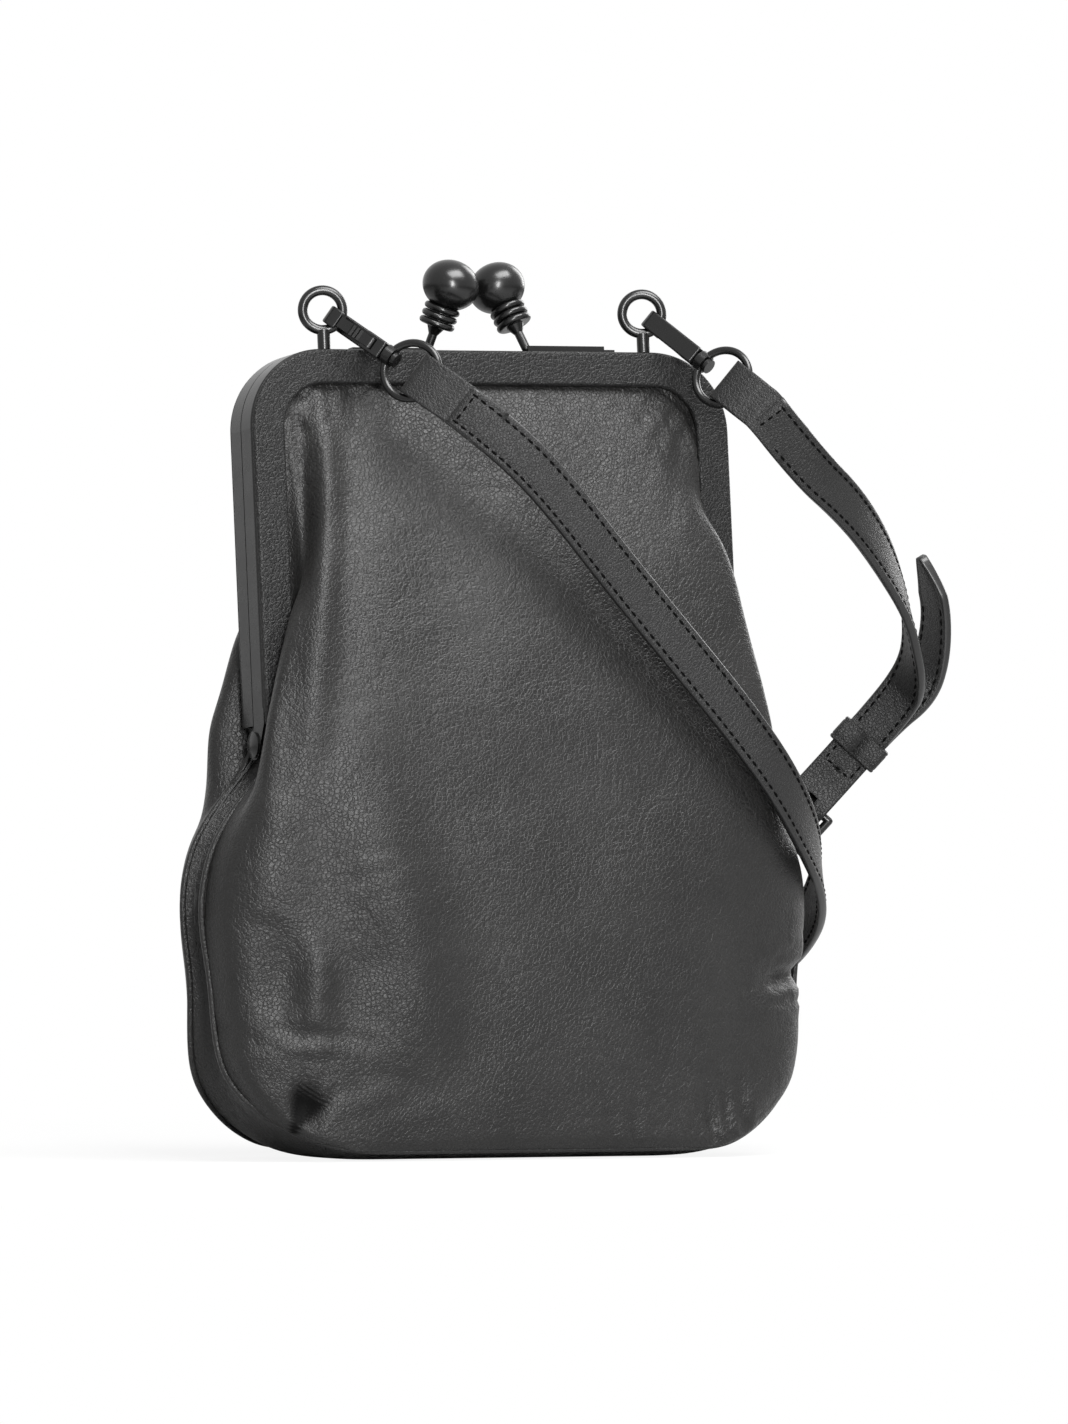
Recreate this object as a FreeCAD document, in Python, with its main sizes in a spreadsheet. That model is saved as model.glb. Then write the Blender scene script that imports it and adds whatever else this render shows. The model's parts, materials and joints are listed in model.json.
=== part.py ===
import FreeCAD, Part
import math
import os

import Sketcher
from FreeCAD import Placement, Rotation, Vector

# A frame purse with a kiss lock: two hinged channel frames, a soft pouch and a clip-on strap with a buckle.
# +Z is up, -Y is the front, and the origin is the middle of the base. Lengths are in millimetres, angles in
# degrees.

doc = FreeCAD.newDocument("frame_purse")
sheet = doc.addObject("Spreadsheet::Sheet", "Sizes")

cells = {
    # frame
    "hinge_height": "107.6",
    "frame_rise": "103",
    "frame_half_width": "68.5",
    "corner_radius": "21",
    "face_width": "8.4",
    "half_depth": "6.5",
    "frame_wall": "1",
    "half_parting": "0.2",
    "outer_round": "0.7",
    "lean_angle": "6",
    "leg_stop": "5",
    "ear_radius": "3.9",
    "ear_lap": "4",
    "ear_play": "0.2",
    "running_clearance": "0.05",
    "cover_thickness": "1.3",
    "cover_lip": "0.8",
    "cover_inset": "0.2",
    "cover_round": "0.9",
    "channel_cord_radius": "0.85",
    # hinge rivets
    "rivet_radius": "1.5",
    "rivet_head_radius": "3.45",
    "rivet_rim": "0.5",
    "rivet_dome": "0.6",
    "rivet_tail_radius": "2.3",
    "rivet_tail_height": "0.8",
    # clasp
    "ball_radius": "7.5",
    "ball_half_height": "6.6",
    "ball_seat_latitude": "60",
    "ball_pass_clearance": "0.3",
    "collar_core_radius": "3.1",
    "collar_rib_radius": "4.8",
    "collar_rib_height": "1.8",
    "collar_groove": "0.2",
    "hub_top_radius": "2.4",
    "hub_height": "2.2",
    "stem_radius": "1.2",
    "stem_length": "4.4",
    "stem_side_tilt": "16",
    "stem_cross_tilt": "19",
    "foot_length": "22",
    "foot_width": "2.8",
    "foot_height": "1.6",
    "foot_step_length": "3",
    "foot_step_height": "0.7",
    # rings on the frame
    "ring_half_spacing": "46",
    "ring_wire_radius": "1.3",
    "ring_mean_radius": "5.2",
    "ring_lift": "3.8",
    "ring_setback": "5",
    "ring_turn": "-20",
    "ring_foot_radius": "1.7",
    # snap hooks
    "hook_width": "5",
    "hook_gap_half": "2",
    "hook_bar": "1.3",
    "hook_bend_centre": "16.4",
    "hook_block": "6.4",
    "hook_nose_length": "1.6",
    "hook_wire_place": "15.9",
    "left_wire_angle": "-36",
    "right_wire_angle": "-40",
    "hook_cheek": "0.9",
    "hook_edge_round": "0.5",
    "gate_play": "0.15",
    "gate_gap": "0.3",
    "gate_pivot_along": "4.4",
    "gate_hub_radius": "1.5",
    "gate_tooth": "0.5",
    "gate_tooth_pitch": "1.2",
    "gate_pin_radius": "0.7",
    "gate_spring_length": "4.2",
    "gate_spring_thickness": "0.3",
    "gate_spring_width": "1.6",
    "post_radius": "1.3",
    "post_head_radius": "2",
    "post_head_height": "1.1",
    "boss_radius": "2.7",
    "boss_height": "2.4",
    "boss_play": "0.2",
    "strap_ring_wire_radius": "1.05",
    "strap_ring_mean_radius": "7.45",
    # strap
    "strap_width": "12",
    "strap_thickness": "2.4",
    "strap_fold_length": "10",
    "strap_fold_gap": "0.3",
    "strap_tip_width": "3",
    "strap_tip_length": "9",
    "buckle_wire_radius": "1.1",
    "buckle_half_width": "7.7",
    "buckle_length": "11",
    "prong_radius": "0.9",
    "prong_collar_width": "2.4",
    "prong_overhang": "1.4",
    "keeper_length": "7",
    "keeper_wall": "1.2",
    "keeper_gap": "0.3",
    "keeper_from_bar": "20.5",
    "strap_layer_gap": "0.45",
    # pouch
    "pouch_half_width": "86.2",
    "pouch_half_depth": "31",
    "leather": "1.4",
    "lining": "0.6",
    "layer_gap": "0.3",
    "piping_width": "1.6",
    "piping_proud": "0.5",
    "piping_depth": "0.8",
    "seam_gap": "1",
    "gusset_lining_shy": "2.2",
    "seam_flange": "1",
    "channel_depth": "4.6",
    "lining_trim": "4.2",
    "fold_clearance": "1.9",
    "back_fold_drop": "13",
    "back_fold_inset": "31.2",
    # one overrun for all cuts
    "overrun": "1",
}
for row, (alias, number) in enumerate(cells.items(), 1):
    sheet.set(f"A{row}", alias)
    sheet.set(f"B{row}", number)
    sheet.setAlias(f"B{row}", alias)
doc.recompute()


class Size:
    # A size of the sheet, or a sum of them, as a number and as the text of an expression.
    def __init__(self, value, text):
        self.value = value
        self.text = text

    def __float__(self):
        return self.value

    def __add__(self, other):
        other = as_size(other)
        return Size(self.value + other.value, f"({self.text} + {other.text})")

    def __sub__(self, other):
        other = as_size(other)
        return Size(self.value - other.value, f"({self.text} - {other.text})")

    def __rsub__(self, other):
        return as_size(other) - self

    def __mul__(self, other):
        other = as_size(other)
        return Size(self.value * other.value, f"({self.text} * {other.text})")

    def __truediv__(self, other):
        other = as_size(other)
        return Size(self.value / other.value, f"({self.text} / {other.text})")

    def __neg__(self):
        return Size(-self.value, f"(0 - {self.text})")

    __radd__ = __add__
    __rmul__ = __mul__


def as_size(other):
    if isinstance(other, Size):
        return other
    return Size(float(other), repr(float(other)))


class Cells:
    def __getattr__(self, alias):
        return Size(float(sheet.get(alias)), f"Sizes.{alias}")


s = Cells()


def vec(x, y, z):
    return Vector(float(x), float(y), float(z))


def degrees_sine(angle):
    return math.sin(math.radians(float(angle)))


def degrees_cosine(angle):
    return math.cos(math.radians(float(angle)))


def axes_place(origin, x_axis, z_axis):
    x_axis = Vector(x_axis).normalize()
    y_axis = z_axis.cross(x_axis).normalize()
    z_axis = x_axis.cross(y_axis)
    columns = (x_axis, y_axis, z_axis)
    matrix = FreeCAD.Matrix(
        *(part for row in range(3) for part in [*(axis[row] for axis in columns), origin[row]]),
        0, 0, 0, 1,
    )
    return Placement(matrix)


X_AXIS = Vector(1, 0, 0)
Y_AXIS = Vector(0, 1, 0)
Z_AXIS = Vector(0, 0, 1)

hinge_point = vec(0, 0, s.hinge_height)
frame_top = s.hinge_height + s.frame_rise
lean = Placement(Vector(), Rotation(X_AXIS, -s.lean_angle.value), hinge_point)
sub_parts = []


def keep(feature, label):
    feature.Label = label
    sub_parts.append(feature)
    return feature


def new_body(label):
    return keep(doc.addObject("PartDesign::Body", label), label)


def start_sketch(body, name, plane, height=None):
    sketch = body.newObject("Sketcher::SketchObject", f"{body.Name}_{name}")
    origin = [feature for feature in body.Origin.OriginFeatures if feature.Role == plane][0]
    sketch.AttachmentSupport = (origin, [""])
    sketch.MapMode = "FlatFace"
    if height is not None:
        sketch.AttachmentOffset = Placement(vec(0, 0, height), Rotation())
        sketch.setExpression("AttachmentOffset.Base.z", height.text)
    return sketch


def bind(sketch, constraint, size):
    index = sketch.addConstraint(constraint)
    sketch.setExpression(f"Constraints[{index}]", size.text)


def pin(sketch, geometry, end, corner):
    for kind, axis, place in (("DistanceX", -2, corner[0]), ("DistanceY", -1, corner[1])):
        if isinstance(place, Size):
            bind(sketch, Sketcher.Constraint(kind, -1, 1, geometry, end, place.value), place)
        else:
            sketch.addConstraint(Sketcher.Constraint("PointOnObject", geometry, end, axis))


def arc_between(start, finish, bend):
    half = (finish - start) * 0.5
    radius = abs(float(bend))
    reach = math.sqrt(max(radius * radius - half.Length * half.Length, 0))
    left = Vector(-half.y, half.x, 0).normalize()
    turn = math.copysign(1, float(bend))
    centre = start + half + left * (reach * turn)
    first, last = (start, finish) if turn > 0 else (finish, start)
    begin = math.atan2(first.y - centre.y, first.x - centre.x)
    end = math.atan2(last.y - centre.y, last.x - centre.x)
    if end < begin:
        end += 2 * math.pi
    return Part.ArcOfCircle(Part.Circle(centre, Z_AXIS, radius), begin, end)


def draw(sketch, corners, closed=True):
    # A corner is (x, y), or (x, y, bend) where an arc leads to it: a positive bend turns left.
    count = len(corners)
    spans = count if closed else count - 1
    ends = []
    bends = []
    for index in range(spans):
        corner = corners[(index + 1) % count]
        start = vec(*corners[index][:2], 0)
        finish = vec(*corner[:2], 0)
        if len(corner) < 3:
            ends.append((sketch.addGeometry(Part.LineSegment(start, finish)), 1, 2))
            bends.append(None)
        else:
            geometry = sketch.addGeometry(arc_between(start, finish, corner[2]))
            ends.append((geometry, 1, 2) if float(corner[2]) > 0 else (geometry, 2, 1))
            bends.append(corner[2] if float(corner[2]) > 0 else -corner[2])
    for index, (geometry, begin, end) in enumerate(ends):
        if closed or index + 1 < spans:
            follower, follower_start, _ = ends[(index + 1) % spans]
            sketch.addConstraint(Sketcher.Constraint("Coincident", geometry, end, follower, follower_start))
        pin(sketch, geometry, begin, corners[index])
        if bends[index] is not None:
            bind(sketch, Sketcher.Constraint("Radius", geometry, bends[index].value), bends[index])
    if not closed:
        geometry, _, end = ends[-1]
        pin(sketch, geometry, end, corners[-1])


def draw_circle(sketch, x, y, radius):
    geometry = sketch.addGeometry(Part.Circle(vec(x, y, 0), Z_AXIS, radius.value))
    pin(sketch, geometry, 3, (x, y))
    bind(sketch, Sketcher.Constraint("Radius", geometry, radius.value), radius)


def pad(body, name, sketch, length, reverse=False):
    feature = body.newObject("PartDesign::Pad", f"{body.Name}_{name}")
    feature.Profile = sketch
    feature.Length = length.value
    feature.setExpression("Length", length.text)
    feature.Reversed = reverse
    return feature


def pocket(body, name, sketch, length, reverse=False):
    feature = body.newObject("PartDesign::Pocket", f"{body.Name}_{name}")
    feature.Profile = sketch
    feature.Length = length.value
    feature.setExpression("Length", length.text)
    feature.Reversed = reverse
    return feature


def pipe(body, name, profile, spine, spans):
    feature = body.newObject("PartDesign::AdditivePipe", f"{body.Name}_{name}")
    feature.Profile = profile
    feature.Spine = (spine, [f"Edge{index + 1}" for index in range(spans)])
    return feature


def turned(label, corners):
    # A body of revolution about its own Z axis, from corners (radius, height).
    body = new_body(label)
    sketch = start_sketch(body, "section", "XZ_Plane")
    draw(sketch, corners)
    feature = body.newObject("PartDesign::Revolution", f"{label}_turn")
    feature.Profile = sketch
    feature.ReferenceAxis = (sketch, ["V_Axis"])
    feature.Angle = 360
    return body


def primitive(kind, name, place, **sizes):
    feature = doc.addObject(f"Part::{kind}", name)
    for size_name, size in sizes.items():
        setattr(feature, size_name, size.value)
        feature.setExpression(size_name, size.text)
    feature.Placement = place
    return feature


def fused(label, shapes):
    feature = doc.addObject("Part::MultiFuse", label)
    feature.Shapes = shapes
    return keep(feature, label)


def solid(label, shape):
    feature = doc.addObject("Part::Feature", label)
    feature.Shape = shape
    return keep(feature, label)


# Frame halves: side is -1 for the front half and 1 for the back half.

def frame_spine(body):
    spine = start_sketch(body, "spine", "XZ_Plane")
    edge = s.frame_half_width
    start = s.hinge_height + s.leg_stop
    draw(spine, [
        (-edge, start),
        (-edge, frame_top - s.corner_radius),
        (s.corner_radius - edge, frame_top, -s.corner_radius),
        (edge - s.corner_radius, frame_top),
        (edge, frame_top - s.corner_radius, -s.corner_radius),
        (edge, start),
    ], closed=False)
    return spine


def frame_pipe(body, corners):
    spine = frame_spine(body)
    section = start_sketch(body, "section", "XY_Plane", s.hinge_height + s.leg_stop)
    draw(section, corners)
    return pipe(body, "sweep", section, spine, 5)


def ear(body, name, side, near, far, neck, offset):
    # An ear plate round the hinge axis, from its inner face outwards, with the rivet's hole.
    sketch = start_sketch(body, name, "YZ_Plane", offset)
    top = s.hinge_height + s.leg_stop + s.ear_lap
    shoulder = s.hinge_height + s.leg_stop
    bend = s.ear_radius * side
    draw(sketch, [
        (far * side, top),
        (far * side, shoulder),
        (s.ear_radius * side, s.hinge_height),
        (0, s.hinge_height - s.ear_radius, -bend),
        (-s.ear_radius * side, s.hinge_height, -bend),
        (0, s.hinge_height + s.ear_radius, -bend),
        (near * side, shoulder),
        (near * side, top),
    ])
    draw_circle(sketch, 0, s.hinge_height, s.rivet_radius + s.running_clearance)
    return pad(body, f"{name}_plate", sketch, neck)


def mirror_across(body, name, features):
    mirror = body.newObject("PartDesign::Mirrored", f"{body.Name}_{name}")
    mirror.Originals = features
    plane = [feature for feature in body.Origin.OriginFeatures if feature.Role == "YZ_Plane"][0]
    mirror.MirrorPlane = (plane, [""])
    body.Tip = mirror


def frame_half(label, side):
    body = new_body(label)
    edge = s.frame_half_width
    near = s.half_parting
    far = s.half_parting + s.half_depth
    bend = s.outer_round * -side
    frame_pipe(body, [
        (-edge, near * side),
        (-edge, (far - s.outer_round) * side),
        (s.outer_round - edge, far * side, bend),
        (s.face_width - edge, far * side),
        (s.face_width - edge, (far - s.frame_wall) * side),
        (s.frame_wall - edge, (far - s.frame_wall) * side),
        (s.frame_wall - edge, (near + s.frame_wall) * side),
        (s.face_width - edge, (near + s.frame_wall) * side),
        (s.face_width - edge, near * side),
    ])
    if side < 0:
        plates = [ear(body, "ear", side, near, far, s.frame_wall, -edge)]
    else:
        inner = s.frame_wall + s.ear_play
        lap_near = near + s.frame_wall
        lap_far = far - s.frame_wall
        joggle = start_sketch(body, "joggle", "YZ_Plane", s.frame_wall * 0.5 - edge)
        base = s.hinge_height + s.leg_stop
        draw(joggle, [
            (lap_near, base),
            (lap_far, base),
            (lap_far, base + s.ear_lap),
            (lap_near, base + s.ear_lap),
        ])
        joggle_pad = pad(body, "joggle_pad", joggle, s.frame_wall + s.ear_play)
        plates = [joggle_pad, ear(body, "ear", side, lap_near, lap_far, s.frame_wall, inner - edge)]
    mirror_across(body, "both_ears", plates)
    body.Placement = lean
    return body


def frame_cover(label, side):
    body = new_body(label)
    outer = s.cover_inset - s.frame_half_width
    inner = s.face_width + s.cover_lip - s.frame_half_width
    seat = s.half_parting + s.half_depth
    face = seat + s.cover_thickness
    bend = s.cover_round * -side
    frame_pipe(body, [
        (outer, seat * side),
        (outer, (face - s.cover_round) * side),
        (outer + s.cover_round, face * side, bend),
        (inner - s.cover_round, face * side),
        (inner, (face - s.cover_round) * side, bend),
        (inner, seat * side),
    ])
    body.Placement = lean


def channel_cord(label, side):
    body = new_body(label)
    spine = frame_spine(body)
    section = start_sketch(body, "section", "XY_Plane", s.hinge_height + s.leg_stop)
    across = s.half_parting + s.frame_wall + s.running_clearance + s.channel_cord_radius
    draw_circle(section, s.face_width * 0.5 - s.frame_half_width, across * side, s.channel_cord_radius)
    pipe(body, "sweep", section, spine, 5)
    body.Placement = lean


def hinge_rivet(label, hand):
    grip = s.frame_wall * 2 + s.ear_play + s.running_clearance
    seat = s.rivet_tail_height + grip
    squares = s.rivet_head_radius * s.rivet_head_radius + s.rivet_dome * s.rivet_dome
    dome_radius = squares / (s.rivet_dome * 2)
    body = turned(label, [
        (0, 0),
        (s.rivet_tail_radius, 0),
        (s.rivet_tail_radius, s.rivet_tail_height),
        (s.rivet_radius, s.rivet_tail_height),
        (s.rivet_radius, seat),
        (s.rivet_head_radius, seat),
        (s.rivet_head_radius, seat + s.rivet_rim),
        (0, seat + s.rivet_rim + s.rivet_dome, dome_radius),
    ])
    turn = Rotation(Z_AXIS, vec(hand, 0, 0))
    body.Placement = Placement(vec(hand * (s.frame_half_width.value - seat.value), 0, s.hinge_height), turn)


for name, side in (("front", -1), ("back", 1)):
    frame_half(f"{name}_frame", side)
    frame_cover(f"{name}_frame_cover", side)
    channel_cord(f"{name}_channel_cord", side)
for name, hand in (("left", -1), ("right", 1)):
    hinge_rivet(f"{name}_hinge_rivet", hand)


# Kiss lock: the front half carries the right ball, which rests behind the left one of the back half.

collar_height = s.hub_height + s.collar_rib_height * 3 + s.collar_groove * 2
ball_seat = float(s.ball_half_height) * degrees_sine(s.ball_seat_latitude)
ball_reach = float(s.stem_length + collar_height) + ball_seat
ball_place = float(s.ball_radius) + float(s.ball_pass_clearance) / 2
stem_side = ball_place + ball_reach * degrees_sine(s.stem_side_tilt)
foot_back = float(s.half_parting + s.half_depth * 0.5)


def clasp(name, turn):
    half_turn = Placement(Vector(), Rotation(Z_AXIS, turn))
    tilt = Rotation(X_AXIS, -s.stem_cross_tilt.value).multiply(Rotation(Y_AXIS, -s.stem_side_tilt.value))
    base = vec(stem_side, -foot_back, frame_top + s.stem_radius)
    axis = lean * half_turn * Placement(base, tilt)
    flat = lean * half_turn

    def along(distance):
        return axis * Placement(vec(0, 0, distance), Rotation())

    corner = vec(stem_side, -foot_back - float(s.foot_width) / 2, frame_top)
    end = corner + vec(s.foot_length, 0, 0)
    fused(f"{name}_clasp_stem", [
        primitive("Cylinder", f"{name}_stem", axis, Radius=s.stem_radius, Height=s.stem_length),
        primitive("Sphere", f"{name}_elbow", axis, Radius=s.stem_radius),
        primitive("Box", f"{name}_foot", flat * Placement(corner, Rotation()),
                  Length=s.foot_length, Width=s.foot_width, Height=s.foot_height),
        primitive("Box", f"{name}_foot_step", flat * Placement(end, Rotation()),
                  Length=s.foot_step_length, Width=s.foot_width, Height=s.foot_step_height),
    ])
    half = s.collar_rib_height * 0.5
    rim = s.collar_rib_radius - half
    section = [
        (0, 0),
        (s.stem_radius, 0),
        (s.hub_top_radius, s.hub_height),
    ]
    for count in range(3):
        low = s.hub_height + (s.collar_rib_height + s.collar_groove) * count
        section += [
            (s.collar_core_radius, low),
            (rim, low),
            (s.collar_rib_radius, low + half, half),
            (rim, low + s.collar_rib_height, half),
            (s.collar_core_radius, low + s.collar_rib_height),
        ]
    section += [(0, collar_height)]
    turned(f"{name}_clasp_collar", section).Placement = along(s.stem_length)
    ball = primitive("Ellipsoid", f"{name}_clasp_ball", along(ball_reach),
                     Radius1=s.ball_half_height, Radius2=s.ball_radius, Radius3=s.ball_radius,
                     Angle1=-s.ball_seat_latitude)
    keep(ball, f"{name}_clasp_ball")


clasp("front", 0)
clasp("back", 180)


# Rings on the frame, which the snap hooks hold.

def frame_ring(name, hand):
    outer = s.ring_mean_radius + s.ring_wire_radius
    centre = vec(s.ring_half_spacing * hand, -s.ring_setback, frame_top + outer + s.ring_lift)
    upright = Rotation(Z_AXIS, s.ring_turn.value).multiply(Rotation(X_AXIS, 90))
    place = lean * Placement(centre, upright)
    foot_base = vec(s.ring_half_spacing * hand, -s.ring_setback, frame_top)
    fused(f"{name}_frame_ring", [
        primitive("Torus", f"{name}_ring_wire", place,
                  Radius1=s.ring_mean_radius, Radius2=s.ring_wire_radius),
        primitive("Cylinder", f"{name}_ring_foot", lean * Placement(foot_base, Rotation()),
                  Radius=s.ring_foot_radius, Height=s.ring_lift + s.ring_wire_radius),
    ])
    return place


ring_places = {name: frame_ring(name, hand) for name, hand in (("left", -1), ("right", 1))}


# Snap hooks. A hook's own X axis runs from its block to its bend, and its spine is on the +Y side.

# The way each hook hangs from its ring, and the side that its spine faces.
hook_aim_shares = {"left": (0.53, -0.66, -0.53), "right": (0.42, -0.72, -0.555)}
spine_face_shares = {"left": (0.423, 0.906, 0), "right": (-0.423, -0.906, 0)}
TEETH = 3
hook_half = s.hook_gap_half + s.hook_bar
post_length = s.boss_height + s.boss_play * 2
ring_centre_along = s.boss_play + s.boss_height * 0.5 + s.strap_ring_mean_radius


def hook_place(name):
    angle = getattr(s, f"{name}_wire_angle")
    radius = float(s.ring_mean_radius)
    wire = ring_places[name].multVec(vec(radius * degrees_cosine(angle), radius * degrees_sine(angle), 0))
    along = -Vector(*hook_aim_shares[name]).normalize()
    face = Vector(*spine_face_shares[name])
    origin = wire - along * s.hook_wire_place.value
    return axes_place(origin, along, along.cross(face))


def level_edges(feature, height):
    doc.recompute()
    names = []
    for index, edge in enumerate(feature.Shape.Edges, 1):
        if all(abs(abs(vertex.Z) - height) < float(s.running_clearance) for vertex in edge.Vertexes):
            names.append(f"Edge{index}")
    return names


def hook_body(name, place):
    body = new_body(f"{name}_hook_body")
    outline = start_sketch(body, "outline", "XY_Plane", s.hook_width * -0.5)
    gap = s.hook_gap_half
    bend = s.hook_bend_centre
    draw(outline, [
        (0, -hook_half),
        (s.hook_block, -hook_half),
        (s.hook_block, gap),
        (bend, gap),
        (bend + gap, 0, -gap),
        (bend, -gap, -gap),
        (bend - s.hook_nose_length, -gap),
        (bend - s.hook_nose_length, -hook_half),
        (bend, -hook_half),
        (bend + hook_half, 0, hook_half),
        (bend, hook_half, hook_half),
        (0, hook_half),
    ])
    bar = pad(body, "bar", outline, s.hook_width)
    rounds = body.newObject("PartDesign::Fillet", f"{body.Name}_rounds")
    rounds.Base = (bar, level_edges(bar, float(s.hook_width) / 2))
    rounds.Radius = s.hook_edge_round.value
    rounds.setExpression("Radius", s.hook_edge_round.text)
    post = start_sketch(body, "post", "YZ_Plane", s.hook_edge_round)
    draw_circle(post, 0, 0, s.post_radius)
    pad(body, "post_pad", post, post_length + s.hook_edge_round, reverse=True)
    head = start_sketch(body, "head", "YZ_Plane", -post_length)
    draw_circle(head, 0, 0, s.post_head_radius)
    pad(body, "head_pad", head, s.post_head_height, reverse=True)
    slot_width = s.hook_width - s.hook_cheek * 2
    slot = start_sketch(body, "slot", "XY_Plane", slot_width * -0.5)
    slot_back = s.gate_pivot_along - s.gate_hub_radius - s.gate_gap
    slot_top = s.gate_hub_radius + s.gate_gap - gap
    draw(slot, [
        (slot_back, -hook_half - s.overrun),
        (s.hook_block + s.overrun, -hook_half - s.overrun),
        (s.hook_block + s.overrun, slot_top),
        (slot_back, slot_top),
    ])
    pocket(body, "slot_cut", slot, slot_width, reverse=True)
    bore = start_sketch(body, "bore", "XY_Plane", s.hook_width * -0.5 - s.overrun)
    draw_circle(bore, s.gate_pivot_along, -gap, s.gate_pin_radius + s.running_clearance)
    pocket(body, "bore_cut", bore, s.hook_width + s.overrun * 2, reverse=True)
    body.Placement = place


def hook_gate(name, place):
    body = new_body(f"{name}_hook_gate")
    width = s.hook_width - s.hook_cheek * 2 - s.gate_play * 2
    outline = start_sketch(body, "outline", "XY_Plane", width * -0.5)
    pivot = s.gate_pivot_along
    hub = s.gate_hub_radius
    gap = s.hook_gap_half
    end = s.hook_bend_centre - s.hook_nose_length - s.gate_gap
    corners = [(pivot, -gap - hub, hub), (pivot + hub, -hook_half)]
    first_tooth = pivot + hub + s.gate_tooth_pitch
    for count in range(TEETH):
        start = first_tooth + s.gate_tooth_pitch * count
        corners += [
            (start, -hook_half),
            (start + s.gate_tooth_pitch * 0.5, -hook_half - s.gate_tooth),
        ]
    corners += [
        (first_tooth + s.gate_tooth_pitch * TEETH, -hook_half),
        (end, -hook_half),
        (end, -gap),
        (pivot + hub, -gap),
        (pivot, hub - gap, hub),
        (pivot - hub, -gap, hub),
    ]
    draw(outline, corners)
    draw_circle(outline, pivot, -gap, s.gate_pin_radius + s.running_clearance)
    pad(body, "lever", outline, width)
    body.Placement = place


def hook_small_parts(name, place):
    low = vec(s.gate_pivot_along, -s.hook_gap_half, s.hook_width * -0.5)
    keep(primitive("Cylinder", f"{name}_gate_pin", place * Placement(low, Rotation()),
                   Radius=s.gate_pin_radius, Height=s.hook_width), f"{name}_gate_pin")
    seat = vec(s.hook_block + s.hook_edge_round,
               s.hook_gap_half - s.gate_spring_thickness - s.running_clearance,
               s.gate_spring_width * -0.5)
    keep(primitive("Box", f"{name}_gate_spring", place * Placement(seat, Rotation()),
                   Length=s.gate_spring_length, Width=s.gate_spring_thickness,
                   Height=s.gate_spring_width), f"{name}_gate_spring")


def strap_ring(name, place):
    backwards = Rotation(Z_AXIS, -X_AXIS)
    boss_start = place * Placement(vec(-s.boss_play, 0, 0), backwards)
    hole_start = place * Placement(vec(s.overrun - s.boss_play, 0, 0), backwards)
    centre = place * Placement(vec(-ring_centre_along, 0, 0), Rotation(X_AXIS, 90))
    whole = doc.addObject("Part::MultiFuse", f"{name}_ring_and_boss")
    whole.Shapes = [
        primitive("Torus", f"{name}_strap_ring_wire", centre,
                  Radius1=s.strap_ring_mean_radius, Radius2=s.strap_ring_wire_radius),
        primitive("Cylinder", f"{name}_boss", boss_start, Radius=s.boss_radius, Height=s.boss_height),
    ]
    hole = primitive("Cylinder", f"{name}_boss_hole", hole_start,
                     Radius=s.post_radius + s.running_clearance, Height=s.boss_height + s.overrun * 2)
    ring = doc.addObject("Part::Cut", f"{name}_strap_ring")
    ring.Base = whole
    ring.Tool = hole
    keep(ring, f"{name}_strap_ring")


hook_places = {name: hook_place(name) for name in ("left", "right")}
for name, place in hook_places.items():
    hook_body(name, place)
    hook_gate(name, place)
    hook_small_parts(name, place)
    strap_ring(name, place)


# Pouch: seam stations down one side, as shares of the pouch's half width, the hinge height and the base's half
# depth.

seam_shares = [
    (0.817, 0.911, 0.21),
    (0.926, 0.818, 0.21),
    (0.988, 0.706, 0.21),
    (1, 0.576, 0.19),
    (0.965, 0.446, 0.21),
    (0.963, 0.335, 0.255),
    (0.949, 0.214, 0.34),
    (0.884, 0.135, 0.47),
    (0.798, 0.069, 0.64),
    (0.696, 0.024, 0.85),
    (0.597, 0, 1),
]
base_depth_share = 0.806
# The panel at each of those stations: its swell and its side fold as shares of the pouch's half depth, and how
# much of the outline folds.
panel_shares = [
    (0.88, 0.18, 0.95),
    (0.92, 0.08, 0.7),
    (0.96, 0.03, 0.35),
    (0.99, 0, 0.1),
    (1, 0, 0),
    (1, 0, 0),
    (0.985, 0, 0),
    (0.965, 0, 0),
    (0.945, 0, 0),
    (0.93, 0, 0),
    (0.915, 0, 0),
]
# The panel above the hinge: its height as a share of the frame's rise, then the same three shares.
upper_shares = [
    (0.04, 0.855, 0.4, 1),
    (0.12, 0.83, 0.32, 1),
    (0.23, 0.79, 0.225, 1),
    (0.34, 0.74, 0.13, 0.95),
    (0.43, 0.69, 0.05, 0.8),
    (0.52, 0.63, 0.01, 0.5),
    (0.63, 0.53, 0, 0.2),
    (0.75, 0.4, 0, 0),
    (0.84, 0.28, 0, 0),
]
skirt_swell_shares = (0.72, 0.8)
# The fold's outline from the frame's mouth outwards, then the front's: shares of its width and of its depth.
fold_outline_shares = [(0, 0), (0.5, 0.04), (0.95, 0.16), (1.06, 0.38), (0.9, 0.62)]
front_outline_shares = [(0.86, 0.84), (0.5, 0.98), (0, 1)]
section_power_share = 0.8
# Each outline is drawn through evenly spaced points, so that the panel's faces run evenly too.
OUTLINE_POINTS = 27
even_steps = [step / (OUTLINE_POINTS - 1) for step in range(OUTLINE_POINTS)]


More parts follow.
